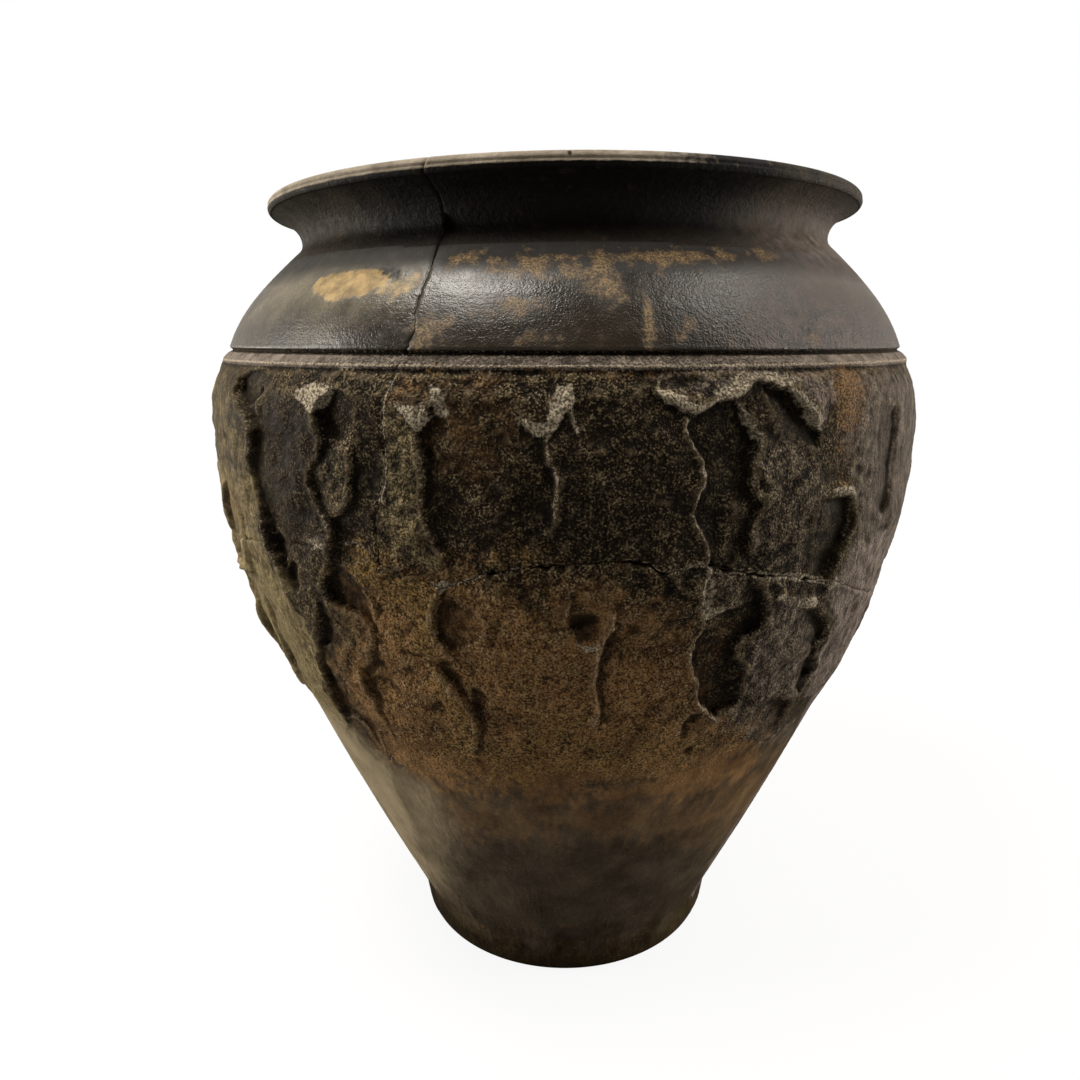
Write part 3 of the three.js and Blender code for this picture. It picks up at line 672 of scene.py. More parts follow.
def upperOuter(mean, shift, inset, gap):
    # outer rows of the wall above the girth break, for columns at mean angles; shift is sideways mm
    start = girthBreakHeight(seamAngles(mean, sherdMesh["breakNear"]))
    firstAngles = seamAngles(mean, start)
    start = girthBreakHeight(firstAngles) + gap + chipAt(firstAngles)
    low, columns = start + edgeRows[-1], len(mean)
    heights = np.vstack([[start + share for share in edgeRows],
                         [low + (sherdMesh["edgeTo"] - low) * share for share in middleRows],
                         rings(spreadRows(*sherdMesh["rows"]), columns)])
    shoulderPart = shoulderLine[shoulderLine[:, 1] > sherdMesh["shoulderFrom"]][::6]
    wide, high = jar["lipRound"]
    lipPart = np.stack([jar["lip"] - wide + wide * np.cos(lipArc),
                        jar["height"] - high + high * np.sin(lipArc)], axis=1)
    lipPart[:, 0] -= moulding["lipGroove"] * np.exp(-((np.degrees(lipArc) - 4) / 9) ** 2)
    rest = np.vstack([blendNeck(np.vstack([shoulderPart, rimLine[1::2]])), lipPart])
    plain = np.vstack([wallRadius(heights), rings(rest[:, 0], columns)])
    heights = np.vstack([heights, rings(rest[:, 1], columns)])
    angles = seamAngles(mean, heights)
    radii = plain + np.where(heights < sherdMesh["liftTo"], surfaceLift(angles, heights), 0)
    return angles + np.degrees(shift / radii), radii - inset, heights, start


def upperInner(mean, shift, inset, start):
    # inner rows likewise, from the break up to the mouth
    throat, columns = jar["neck"][0] - jar["wall"], len(mean)
    heights = np.vstack([[start + (sherdMesh["innerTo"] - start) * share for share in (0.0, 0.3, 0.6, 1.0)],
                         rings(sherdMesh["innerRows"], columns)])
    radii = np.maximum(innerRadius(heights), throat)
    rim = [(throat + out, z) for out, z in sherdMesh["throat"]]
    rim += [(jar["mouth"] + out, z) for out, z in sherdMesh["mouth"]]
    heights = np.vstack([heights, rings([z for _, z in rim], columns)])
    radii = np.vstack([radii, rings([r for r, _ in rim], columns)])
    angles = seamAngles(mean, heights) + np.degrees(shift / radii)
    return angles, radii + inset, np.minimum(heights, jar["height"] - inset)


def columnsBetween(first, last):
    # angles from first to last, closer together in front than behind
    walk = columnStep["walk"]
    fine = np.arange(round((last - first) / walk) + 1) * walk + first
    behind = smooth(np.abs(fromAngle(fine, 0)), *columnStep["behindFrom"])
    steps = walk / (columnStep["front"] + columnStep["addedBehind"] * behind)
    travel = np.concatenate([[0], np.cumsum(steps)[:-1]])
    return np.interp(np.linspace(0, travel[-1], int(travel[-1])), travel, fine)


def seamColumns(first, last):
    # mean angles of a sherd's columns, closer together at both breaks, and their sideways shift in mm
    close = edgeRows / seamRadius * degreesInRadian
    angles = np.concatenate([first + close[:-1], columnsBetween(first + close[-1], last - close[-1]),
                             last - close[:-1][::-1]])
    ease = np.full(len(close), breakGap["half"])
    ease[-1] /= 2
    shift = np.zeros_like(angles)
    shift[:len(ease)] = ease
    shift[-len(ease):] = -ease[::-1]
    return angles, shift


def shellMesh(name, outer, inner, goesRound):
    # joins outer and inner rows of points into one closed shell; gives the mesh and its count of outer points
    outerRows, columns = outer.shape[:2]
    innerRows = inner.shape[0]
    points = np.concatenate([outer.reshape(-1, 3), inner.reshape(-1, 3)])
    grid = np.arange(outerRows * columns).reshape(outerRows, columns)
    back = np.arange(innerRows * columns).reshape(innerRows, columns) + outerRows * columns
    if goesRound:
        grid = np.hstack([grid, grid[:, :1]])
        back = np.hstack([back, back[:, :1]])

    def quads(a, b, c, d):
        return np.stack([a.ravel(), b.ravel(), c.ravel(), d.ravel()], axis=1)

    faces = [quads(grid[:-1, :-1], grid[:-1, 1:], grid[1:, 1:], grid[1:, :-1]),
             quads(back[:-1, 1:], back[:-1, :-1], back[1:, :-1], back[1:, 1:]),
             quads(grid[-1, :-1], grid[-1, 1:], back[-1, 1:], back[-1, :-1]),
             quads(back[0, :-1], back[0, 1:], grid[0, 1:], grid[0, :-1])]
    triangles = []
    if not goesRound:
        tie = np.round(np.linspace(0, innerRows - 1, outerRows)).astype(int)
        for column, facing in ((0, True), (columns - 1, False)):
            o, b = grid[:, column], back[:, column]
            for k in range(outerRows - 1):
                cap = [(b[tie[k]], o[k], o[k + 1])]
                if tie[k + 1] != tie[k]:
                    cap.append((b[tie[k]], o[k + 1], b[tie[k + 1]]))
                triangles += cap if facing else [t[::-1] for t in cap]
    quadCorners = np.concatenate(faces)
    corners = np.concatenate([quadCorners.ravel(), np.array(triangles, dtype=int).ravel()])
    sizes = np.concatenate([np.full(len(quadCorners), 4), np.full(len(triangles), 3)])
    mesh = bpy.data.meshes.new(name)
    mesh.vertices.add(len(points))
    mesh.vertices.foreach_set("co", points.astype(np.float32).ravel())
    mesh.loops.add(len(corners))
    mesh.loops.foreach_set("vertex_index", corners.astype(np.int32))
    mesh.polygons.add(len(sizes))
    mesh.polygons.foreach_set("loop_start", np.concatenate([[0], np.cumsum(sizes)[:-1]]).astype(np.int32))
    mesh.update(calc_edges=True)
    mesh.validate()
    return mesh, outerRows * columns


# Where the clay looks change: heights in mm outside, and how far inwards or upwards a face inside must look
finishFrom = {"heights": [159.1, 181.5], "inwards": -0.25, "upwards": 0.6, "floorBelow": 20}


def finishMesh(mesh):
    # joins coinciding points (the middle of the foot and floor) and shades smooth
    work = bmesh.new()
    work.from_mesh(mesh)
    bmesh.ops.remove_doubles(work, verts=work.verts, dist=1e-7)
    bmesh.ops.dissolve_degenerate(work, edges=work.edges, dist=1e-8)
    bmesh.ops.recalc_face_normals(work, faces=work.faces)
    work.to_mesh(mesh)
    work.free()
    mesh.shade_smooth()
    # from below: slip up to the groove, burnish on the shoulder, soot and painted shade on neck and rim; and
    # bare clay inside
    count = len(mesh.polygons)
    centres, normals = np.empty(count * 3), np.empty(count * 3)
    mesh.polygons.foreach_get("center", centres)
    mesh.polygons.foreach_get("normal", normals)
    centres, normals = centres.reshape(-1, 3), normals.reshape(-1, 3)
    outward = (centres[:, :2] * normals[:, :2]).sum(axis=1) / (np.hypot(centres[:, 0], centres[:, 1]) + 1e-6)
    floor = (normals[:, 2] > finishFrom["upwards"]) & (centres[:, 2] < finishFrom["floorBelow"] * mm)
    inside = (outward < finishFrom["inwards"]) | floor
    outside = np.digitize(centres[:, 2], np.array(finishFrom["heights"]) * mm)
    finish = np.where(inside, 3, outside)
    mesh.polygons.foreach_set("material_index", finish.astype(np.int32))


def addPiece(name, mesh, body, nodes):
    piece = bpy.data.objects.new(name, mesh)
    bpy.context.collection.objects.link(piece)
    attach(piece, body)
    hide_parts(*nodes)
    return piece


def writeField(mesh, name, values):
    field = mesh.attributes.new(name, "FLOAT", "POINT")
    field.data.foreach_set("value", values.astype(np.float32))


# Rust stains: pixel, half width and half height in mm, strength
rustStains = [
    (452, 262, 3, 2.2, 0.6), (470, 258, 4, 2.5, 0.7), (500, 266, 5, 3, 0.8), (520, 258, 5, 3, 0.6),
    (535, 268, 6, 3, 0.9), (560, 262, 5, 3, 0.7), (575, 272, 5, 3, 0.8), (603, 266, 3, 4, 1.0),
    (600, 282, 3, 3, 0.9), (612, 292, 3, 3, 0.8), (588, 288, 3, 2, 0.6), (640, 257, 9, 1.8, 0.9),
    (680, 258, 8, 2.4, 0.9), (720, 257, 7, 2.2, 0.8), (760, 256, 7, 2.2, 0.7), (690, 264, 4, 3, 0.6),
    (665, 268, 3, 2, 0.6), (510, 305, 6, 2.2, 0.8), (530, 311, 4, 2.0, 0.7), (486, 312, 4, 3, 0.5),
    (650, 320, 1.2, 3.4, 1.0), (650, 340, 1.5, 2.6, 1.0), (690, 325, 2.4, 2.4, 0.8), (684, 338, 3, 2, 0.6),
    (430, 326, 5, 4.5, 0.8), (420, 342, 4, 2.6, 0.7), (540, 338, 9, 2, 0.5), (812, 336, 3, 2.6, 0.5),
    (848, 388, 5.6, 5, 1.5), (847, 412, 5, 5, 1.3), (843, 445, 5, 6, 0.5), (842, 484, 4, 2.5, 0.6),
    (236, 500, 9, 9, 0.7), (236, 545, 7, 5, 0.6), (415, 388, 5, 2.6, 0.6), (400, 396, 4, 4, 0.5),
    (500, 380, 9, 1.2, 0.45), (560, 371, 12, 0.8, 0.6), (630, 376, 12, 1.2, 0.6), (450, 425, 8, 6, 0.35),
    (425, 572, 7, 1.7, 0.6), (384, 556, 5, 2.5, 0.6), (470, 560, 6, 2.5, 0.5), (530, 556, 6, 2.5, 0.4),
    (530, 926, 3, 1.5, 0.7), (566, 926, 3, 1.3, 0.7), (470, 905, 4, 2, 0.3), (640, 915, 6, 1.6, 0.5),
    (480, 926, 3, 1.6, 0.5), (560, 855, 4, 1.6, 0.4), (520, 858, 3, 1.4, 0.35), (572, 876, 1.5, 1.2, 0.5),
]
# Pits and holes, painted black as the shade inside them: pixel, half width and half height in mm, strength
shadedPits = [
    (385, 270, 1.5, 0.8, 1.0), (392, 274, 1.3, 0.7, 0.9), (398, 270, 0.6, 0.8, 0.8),
    (497, 275, 0.5, 0.8, 0.9), (451, 282, 0.7, 0.7, 0.6), (712, 565, 0.9, 0.8, 1.2),
    (727, 570, 1.1, 0.8, 1.2), (791, 577, 1.3, 0.9, 1.2), (258, 391, 0.9, 0.9, 0.9),
    (690, 752, 1.0, 1.6, 0.8), (710, 791, 0.7, 0.6, 0.7), (570, 152, 0.5, 0.5, 1.0),
]
# Where flakes have broken off and left a pale, rough face: outlines in pixels with a strength
chalkFaces = [
    (1.0, [(297, 392), (312, 382), (334, 386), (326, 399), (317, 413), (307, 404)]),
    (1.0, [(395, 403), (408, 414), (418, 432), (428, 419), (431, 408), (426, 401), (418, 409), (408, 407)]),
    (0.7, [(430, 384), (441, 390), (445, 408), (450, 416), (440, 418), (433, 410)]),
    (1.0, [
        (513, 413), (525, 420), (540, 428), (551, 420), (551, 402), (558, 386), (570, 381), (574, 390),
        (574, 408), (566, 410), (560, 422), (549, 436), (539, 437), (525, 427)]),
    (0.6, [(570, 405), (574, 405), (578, 432), (573, 432)]),
    (0.9, [
        (654, 385), (666, 391), (682, 398), (698, 404), (712, 400), (722, 396), (733, 399), (718, 402),
        (708, 411), (697, 414), (684, 410), (670, 404), (660, 396)]),
    (0.55, [
        (712, 396), (724, 384), (738, 374), (772, 370), (800, 378), (784, 389), (763, 379), (754, 383),
        (745, 393), (733, 399), (720, 400)]),
    (0.75, [
        (786, 388), (797, 392), (810, 404), (820, 418), (822, 430), (812, 425), (804, 412), (796, 400)]),
    (0.55, [(738, 400), (744, 402), (750, 418), (761, 434), (762, 444), (754, 438), (745, 426)]),
    (0.9, [(771, 591), (782, 592), (785, 598), (774, 599)]),
    (0.75, [(797, 598), (812, 597), (817, 603), (806, 608), (796, 606)]),
    (0.6, [(820, 583), (832, 581), (837, 586), (824, 588)]),
    (0.7, [(833, 489), (848, 485), (855, 493), (842, 496)]),
    (0.6, [(704, 604), (716, 606), (730, 609), (722, 615), (710, 620), (705, 614)]),
    (0.85, [(439, 582), (446, 580), (448, 590), (440, 593)]),
    (0.6, [(574, 640), (588, 646), (602, 641), (600, 649), (586, 652)]),
    (0.7, [(742, 573), (762, 571), (800, 574), (822, 577), (800, 581), (762, 578)]),
    (0.5, [(706, 568), (715, 568), (716, 600), (708, 616), (704, 600)]),
    (0.5, [(305, 540), (320, 538), (337, 541), (330, 546), (312, 546)]),
]
# Tan scars where the burnish has come away
tanFaces = [
    (1.0, [
        (311, 286), (320, 276), (334, 272), (350, 269), (366, 267), (380, 268), (391, 274), (384, 284),
        (372, 290), (356, 295), (338, 299), (322, 296)]),
    (0.45, [(384, 284), (396, 279), (420, 270), (426, 280), (410, 292), (392, 300), (372, 292)]),
    (0.5, [(425, 366), (444, 366), (442, 378), (434, 383), (428, 377)]),
]
# Slip of other tints, outlined in pixels; the ones with "round" run on from there to that many degrees
buffFaces = [
    (0.3, [(226, 370), (236, 395), (243, 420), (254, 440), (257, 480)], -108),
    (0.5, [(257, 470), (262, 510), (272, 545), (284, 580)], -108),
    (1.0, [(284, 570), (300, 605), (318, 640), (322, 675), (330, 700), (350, 735)], -108),
    (0.4, [
        (388, 405), (404, 415), (418, 432), (424, 460), (427, 480), (425, 515), (430, 530), (445, 556),
        (440, 575), (415, 565), (395, 560), (380, 545), (378, 508), (384, 460), (384, 424)]),
    (0.25, [(321, 444), (352, 440), (354, 466), (353, 504), (334, 519), (318, 500), (313, 473)]),
    (0.3, [(338, 625), (345, 606), (372, 632), (372, 660), (352, 662), (340, 650)]),
]
# Painted side light: paler patches where light falls on the left of the scraped wall and of the shoulder,
# faintly on the right
sideLightFaces = [
    (0.6, [(300, 262), (425, 262), (418, 290), (392, 308), (330, 318), (240, 328), (262, 296)]),
    (0.12, [(765, 755), (812, 700), (790, 760), (735, 840), (705, 878), (690, 850), (725, 800)], 100),
    (0.95, [(340, 730), (385, 768), (400, 800), (412, 830), (424, 862), (430, 880)], -100),
    (0.45, [(385, 768), (430, 785), (450, 820), (450, 860), (445, 885), (430, 880), (412, 830)]),
]
brownFaces = [
    (1.0, [
        (352, 590), (376, 575), (400, 585), (450, 596), (475, 590), (520, 600), (560, 596), (600, 606),
        (640, 612), (690, 640), (700, 700), (720, 735), (745, 742), (765, 744), (745, 776), (720, 784),
        (660, 798), (610, 786), (560, 798), (500, 782), (440, 786), (390, 758), (372, 740), (345, 700),
        (352, 640)]),
    (0.5, [(440, 420), (480, 400), (500, 430), (480, 470), (450, 470)]),
    (0.45, [
        (440, 800), (500, 800), (600, 802), (690, 800), (745, 770), (780, 745), (770, 790), (740, 830),
        (690, 838), (600, 830), (500, 832), (450, 826)]),
]
ochreFaces = [
    (1.0, [
        (360, 545), (378, 560), (420, 575), (455, 588), (448, 606), (430, 640), (455, 690), (478, 730),
        (470, 760), (440, 700), (400, 610), (372, 600), (350, 570)]),
    (0.7, [
        (560, 700), (600, 720), (640, 730), (690, 725), (700, 760), (640, 775), (560, 780), (480, 785),
        (450, 770), (430, 745), (444, 722), (480, 740), (520, 740)]),
    (0.45, [(392, 470), (425, 500), (430, 530), (410, 560), (385, 520)]),
    (0.5, [(440, 545), (480, 530), (545, 540), (540, 565), (480, 578), (450, 580)]),
    (0.4, [(480, 600), (540, 610), (600, 700), (560, 740), (500, 700), (480, 640)]),
]
bloomFaces = [
    (0.6, [(834, 372), (838, 430), (850, 488), (857, 512), (846, 550)], 106),
    (1.0, [(846, 545), (826, 590), (828, 640), (812, 690), (790, 740)], 106),
    (0.9, [
        (824, 600), (850, 575), (846, 620), (832, 660), (812, 690), (800, 700), (812, 660),
        (826, 630)], 100),
    (0.4, [
        (757, 445), (775, 420), (812, 445), (830, 490), (812, 560), (800, 574), (750, 566), (750, 530),
        (765, 505), (755, 478)]),
    (0.8, [
        (640, 370), (700, 368), (830, 368), (838, 400), (822, 425), (800, 392), (770, 380), (745, 392),
        (720, 400), (690, 392), (660, 385)]),
    (0.6, [
        (765, 580), (800, 590), (806, 608), (820, 640), (812, 660), (800, 690), (780, 700), (745, 700),
        (745, 660), (765, 625), (765, 600)]),
    (0.5, [(700, 720), (760, 745), (790, 740), (770, 700), (735, 700)]),
    (0.8, [(820, 700), (770, 770), (730, 830), (705, 870), (690, 900)], 100),
    (0.5, [(706, 570), (762, 576), (762, 600), (740, 610), (706, 616)]),
]
# Slip darkened by smoke, and painted shade in the valleys beside the drapes and hollows
smokeAndShadeFaces = [
    (0.9, [
        (264, 400), (300, 396), (316, 414), (320, 440), (312, 475), (318, 494), (332, 522), (335, 548),
        (300, 542), (286, 522), (270, 480), (260, 440)]),
    (0.8, [(404, 850), (440, 900), (500, 945), (480, 960), (420, 908)]),
    (0.5, [
        (418, 905), (450, 932), (520, 950), (600, 954), (655, 944), (694, 915), (696, 935), (650, 964),
        (560, 972), (480, 964), (425, 932)]),
    (0.65, [
        (430, 400), (545, 395), (640, 385), (690, 425), (702, 460), (698, 560), (640, 555), (570, 555),
        (500, 555), (450, 560), (430, 520), (425, 440)]),
    (0.65, [
        (700, 415), (745, 402), (752, 440), (750, 480), (755, 500), (745, 562), (712, 565), (705, 480),
        (694, 440)]),
    (0.85, [(754, 384), (768, 380), (800, 405), (818, 436), (800, 450), (770, 440), (752, 420)]),
    (1.0, [(816, 502), (850, 497), (850, 530), (834, 560), (820, 578), (806, 576), (804, 548), (810, 520)]),
    (0.6, [(880, 406), (894, 408), (894, 450), (890, 480), (883, 510), (875, 510), (877, 450)]),
    (0.6, [(704, 634), (735, 640), (735, 692), (714, 708), (699, 690), (698, 655)]),
    (0.6, [(766, 596), (758, 626), (735, 637), (722, 629), (740, 612)]),
    (0.75, [(350, 392), (384, 400), (383, 480), (376, 535), (345, 525), (356, 500), (355, 440)]),
    (0.8, [(330, 400), (350, 396), (354, 436), (323, 436), (320, 415)]),
    (0.85, [(328, 578), (340, 566), (362, 588), (374, 625), (352, 608), (332, 598)]),
    (0.5, [(440, 602), (475, 612), (478, 640), (450, 650), (438, 630)]),
    (0.5, [(560, 590), (602, 600), (600, 640), (575, 650), (555, 620)]),
    (0.4, [(600, 590), (690, 600), (692, 640), (640, 640), (604, 640)]),
    (0.7, [(326, 608), (336, 620), (338, 660), (328, 662), (324, 640)]),
    (0.6, [(250, 420), (262, 440), (270, 500), (285, 540), (280, 555), (266, 520), (258, 470)]),
]


def faceMap(faces, ragged, width):
    # paints outlined faces on the map, with ragged edges
    torn = ragged * clouds(0, "torn")
    made = np.zeros((len(mapHeights), len(mapAngles)))
    for strength, outline, *around in faces:
        spots = turnSpots(outline, 0, False, 0)
        if around:
            spots = spots + [(around[0], spots[-1][1]), (around[0], spots[0][1])]
        rows, columns, angles = mapWindow(spots, 4 + 2 * width)
        share = 0.5 + 0.5 * np.tanh(depthInside(spots, rows, columns, angles, torn) / width)
        spot = np.ix_(rows, columns)
        made[spot] = np.maximum(made[spot], share * strength)
    return made


# Each kind of face, how ragged its edge is and over how many mm it fades
faceKinds = {
    "chalk": (chalkFaces, 0.4, 0.25), "paintedSideLight": (sideLightFaces, 1.5, 6.0), "tan": (tanFaces, 0.5, 0.6),
    "buff": (buffFaces, 1.5, 2.4), "brown": (brownFaces, 5.0, 6.0), "ochre": (ochreFaces, 2.5, 1.8),
    "bloom": (bloomFaces, 1.5, 1.4), "smokeAndShade": (smokeAndShadeFaces, 1.0, 1.2),
}
tints = {name: faceMap(*kind) for name, kind in faceKinds.items()}
slipMap -= (tints["chalk"] + tints["tan"]) * clouds(0.15, "scar")
# How far each place stands proud of (plus) or lies below the slip round it: the cells of the map over which
# that is blurred, and the mm that count as 1
# their low places are darkened as painted shade, their high ones given a pale rub
proudMaps = {name: np.clip((slipMap - soften(slipMap, cells)) / height, -1, 1)
             for name, cells, height in (("standing", 14, 0.8), ("proud", 5, 0.45), ("grainy", 2, 0.12))}
# Stretches of the breaks whose rubbed edges or glue show pale, with a strength
paleBreaks = [
    (0.7, frontBreakPixels[8:16]),
    (0.6, girthBreakPixels[0:4]),
    (0.55, girthBreakPixels[6:12] + girthBreakPixels[13:14]),
    (0.6, girthBreakPixels[19:25]),
    (0.7, girthBreakPixels[25:32]),
    (0.35, [(434, 192), (440, 205), (442, 235)]),
]
patchy = np.clip(clouds(0.55, "patchy"), 0, 1)
for strength, line in paleBreaks:
    spots = turnSpots(line, 0, False, 0)
    rows, columns, angles = mapWindow(spots, 3)
    side, toEnd = edgeDistance(spots, angles, mapHeights[rows])
    spot = np.ix_(rows, columns)
    near = strength * np.exp(-(side / 0.45) ** 2) * smooth(toEnd, 0, 1.5) * patchy[spot]
    crestRubAndHighlightMap[spot] = np.maximum(crestRubAndHighlightMap[spot], near)


def patchField(angles, heights, patches):
    # round patches at pixels: the strongest at each place
    total = np.zeros_like(angles)
    for px, py, wide, high, strength in patches:
        a, z = spotOnJar(px, py)
        x = fromAngle(angles, a) * np.radians(1) * np.interp(z, wholeLine[:, 1], wholeLine[:, 0])
        total = np.maximum(total, strength * np.exp(-((x / wide) ** 2 + ((heights - z) / high) ** 2)))
    return total


# Where smoke has bloomed on the right: sines of the angle between which it sets in, height and reach in mm
blooms = {"shoulderBloom": (0.1, 0.7, 160, 13), "neckBloom": (0.3, 0.85, 185, 9)}


def paintFields(mesh, count, angles, heights):
    # writes the painted fields on the points of the outer face
    a, z = angles.ravel(), heights.ravel()
    right = np.sin(np.radians(a))
    # flank: 1 at both sides; coats that follow it make the sides paler, partly the clay's own colour and
    # partly painted side light
    flank = smooth(np.abs(right), 0.35, 0.9)
    groove = np.exp(-((z - moulding["groove"] + 0.1) / 0.45) ** 2)
    cordon = smooth(z, coat["top"] + 0.4, coat["top"] + 0.7) * (1 - smooth(z, 157.9, 158.3))
    # painted shade: the slip's recesses, and the groove, weaker at the sides where light falls
    paintedShade = np.maximum(readMap(paintedShadeMap, a, z) * (z < coat["top"]), groove * (1 - 0.5 * flank))
    # painted highlight along the cordon's crest
    paintedCordonHighlight = 0.9 * np.exp(-(np.abs(z - moulding["crest"]) / 0.28) ** 2)
    fields = {
        # with the pits painted black as shade
        "paintedShade": np.maximum(paintedShade, patchField(a, z, shadedPits)),
        # pale crests: rubbed wear on proud edges and painted highlight on their lit side, with rubbed breaks
        # and glue
        "crest": np.maximum(readMap(crestRubAndHighlightMap, a, z) * (z < 199), paintedCordonHighlight),
        "flank": flank,
        # the cordon's pale band, stronger at the sides partly as painted side light
        "cordon": cordon * (0.42 + 0.55 * flank),
        "rust": patchField(a, z, rustStains),
        "heightShare": z / jar["height"],
        # the lip's top rubbed pale, and paler on the left as painted highlight where light falls
        "lipTopRubAndHighlight": smooth(z, 197.2, 197.8) * (1 - 0.9 * smooth(right, 0.0, 0.5)),
    }
    for name, (low, high, height, reach) in blooms.items():
        fields[name] = smooth(right, low, high) * np.exp(-((z - height) / reach) ** 2)
    for name, field in tints.items():
        fields[name] = readMap(field, a, z)
    for name, field in proudMaps.items():
        fields[name] = readMap(field, a, z) * (z < coat["top"] + 4)
    extra = len(mesh.vertices) - count
    for name, values in fields.items():
        writeField(mesh, name, np.concatenate([values, np.zeros(extra)]))


def makeUpperSherd(name, first, last, nodes):
    mean, shift = seamColumns(first, last)
    angles, radii, heights, start = upperOuter(mean, shift, 0.0, breakGap["half"])
    # the broken edges are rubbed
    fromSeam = np.minimum(mean - first, last - mean) / degreesInRadian * seamRadius
    rub = breakGap["bevel"] * np.exp(-(fromSeam / breakGap["bevelReach"]) ** 2)[None, :]
    rub = rub + breakGap["bevel"] * np.exp(-((heights - start[None, :]) / breakGap["bevelReach"]) ** 2)
    outer = toXyz(angles, radii - rub, heights)
    inAngles, inRadii, inHeights = upperInner(mean, shift, 0.0, start)
    mesh, count = shellMesh(name, outer, toXyz(inAngles, inRadii, inHeights), False)
    paintFields(mesh, count, angles, heights)
    finishMesh(mesh)
    return addPiece(name, mesh, "root", nodes)


lowerShape = {
    # radius and height
    "footRing": [(0.0, 0.0), (14.0, 0.0), (28.0, 0.0), (36.0, 0.0), (38.6, 0.0), (39.4, 0.12), (39.9, 0.45),
                 (40.2, 1.0)],
    "rows": [(1.6, 9.0, 0.6), (9.0, 60.0, 0.8), (60.0, 96.0, 0.36)],
    "breakFrom": 96.0,       # above this height rows follow the break
    "breakRows": 48,
    # share of the floor's radius and mm above the floor
    "floor": [(0.0, 0), (0.5, 0), (0.8, 0.6), (0.94, 2), (1.0, 4)],
    "innerRows": range(18, 96, 6),
}


def makeLowerBody():
    angles = columnsBetween(-180, 180)[:-1]
    columns, low = len(angles), lowerShape["breakFrom"]
    top = girthBreakHeight(angles) - breakGap["half"] - chipAt(angles)
    shares = np.linspace(0, 1, lowerShape["breakRows"])[1:]
    heights = np.vstack([
        rings(spreadRows(*lowerShape["rows"]), columns),
        [low + (top - edgeRows[-1] - low) * share for share in shares],
        [top - back for back in edgeRows[::-1][1:]],
    ])
    radii = wallRadius(heights) + surfaceLift(np.broadcast_to(angles, heights.shape), heights)
    radii = radii - breakGap["bevel"] * np.exp(-((heights - top[None, :]) / breakGap["bevelReach"]) ** 2)
    heights = np.vstack([rings([z for _, z in lowerShape["footRing"]], columns), heights])
    radii = np.vstack([rings([r for r, _ in lowerShape["footRing"]], columns), radii])
    turned = np.broadcast_to(angles, heights.shape)
    floorRadius = jar["foot"][0] - jar["wall"] / 2
    middle = (low + top) / 2
    wallRows = np.vstack([rings(lowerShape["innerRows"], columns), middle, top])
    inHeights = np.vstack([rings([jar["floor"] + up for _, up in lowerShape["floor"]], columns), wallRows])
    inRadii = np.vstack([rings([floorRadius * share for share, _ in lowerShape["floor"]], columns),
                         innerRadius(wallRows)])
    inner = toXyz(np.broadcast_to(angles, inHeights.shape), inRadii, inHeights)
    mesh, count = shellMesh("lowerBody", toXyz(turned, radii, heights), inner, True)
    paintFields(mesh, count, turned, heights)
    finishMesh(mesh)
    return addPiece("lowerBody", mesh, "root", ["lower_body", "lower_slip_coat"])


# In mm: half the glue's thickness, and how far it stays back from the faces and from the girth break
glueShape = {"half": 0.12, "back": 0.8, "offBreak": 0.9, "girthBack": 0.5, "slipShare": 0.4, "columns": 1280}


def makeUprightGlue(name, mean, node):
    sides = np.array([mean, mean])
    shift = np.array([-glueShape["half"], glueShape["half"]])
    back = glueShape["back"]
    angles, radii, heights, start = upperOuter(sides, shift, back, glueShape["offBreak"])
    inAngles, inRadii, inHeights = upperInner(sides, shift, back, start)
    heights = np.minimum(heights, jar["height"] - back)
    mesh, _ = shellMesh(name, toXyz(angles, radii, heights), toXyz(inAngles, inRadii, inHeights), False)
    finishMesh(mesh)
    return addPiece(name, mesh, "root", [node])


def makeGirthGlue():
    angles = np.linspace(-180, 180, glueShape["columns"] + 1)[:-1]
    middle = girthBreakHeight(angles)
    heights = np.array([middle - glueShape["half"], middle + glueShape["half"]])
    turned = np.broadcast_to(angles, heights.shape)
    slip = readMap(slipMap, turned, heights) * glueShape["slipShare"]
    outer = toXyz(turned, wallRadius(heights) + slip - glueShape["girthBack"], heights)
    inner = toXyz(turned, innerRadius(heights) + glueShape["back"], heights)
    mesh, _ = shellMesh("girthGlue", outer, inner, True)
    finishMesh(mesh)
    return addPiece("girthGlue", mesh, "root", ["girth_adhesive"])


rightSherd = makeUpperSherd("upperRightSherd", frontMean, backMean,
                            ["upper_right_sherd", "upper_right_slip_coat"])
leftSherd = makeUpperSherd("upperLeftSherd", backMean, frontMean + 360,
                           ["upper_left_sherd", "upper_left_slip_coat"])
lowerBody = makeLowerBody()
frontGlue = makeUprightGlue("frontGlue", frontMean, "front_adhesive")
backGlue = makeUprightGlue("backGlue", backMean, "back_adhesive")
girthGlue = makeGirthGlue()
print("sherds made, faces", *[len(piece.data.polygons) for piece in (rightSherd, leftSherd, lowerBody)])


def linear(hexColour):
    channels = [int(hexColour[k:k + 2], 16) / 255 for k in (1, 3, 5)]
    made = [c / 12.92 if c <= 0.04045 else ((c + 0.055) / 1.055) ** 2.4 for c in channels]
    return (*made, 1.0)


def addNode(tree, kind, settings=None, inputs=None, output=0):
    # adds one node; inputs take numbers, hex colours or other nodes' outputs; gives one of its own outputs
    node = tree.nodes.new("ShaderNode" + kind)
    for key, value in (settings or {}).items():
        setattr(node, key, value)
    for key, value in (inputs or {}).items():
        if isinstance(value, bpy.types.NodeSocket):
            tree.links.new(value, node.inputs[key])
        else:
            node.inputs[key].default_value = linear(value) if isinstance(value, str) else value
    return node.outputs[output] if node.outputs else None


def newMaterial(name):
    material = bpy.data.materials.new(name)
    material.use_nodes = True
    material.node_tree.nodes.clear()
    return material, material.node_tree


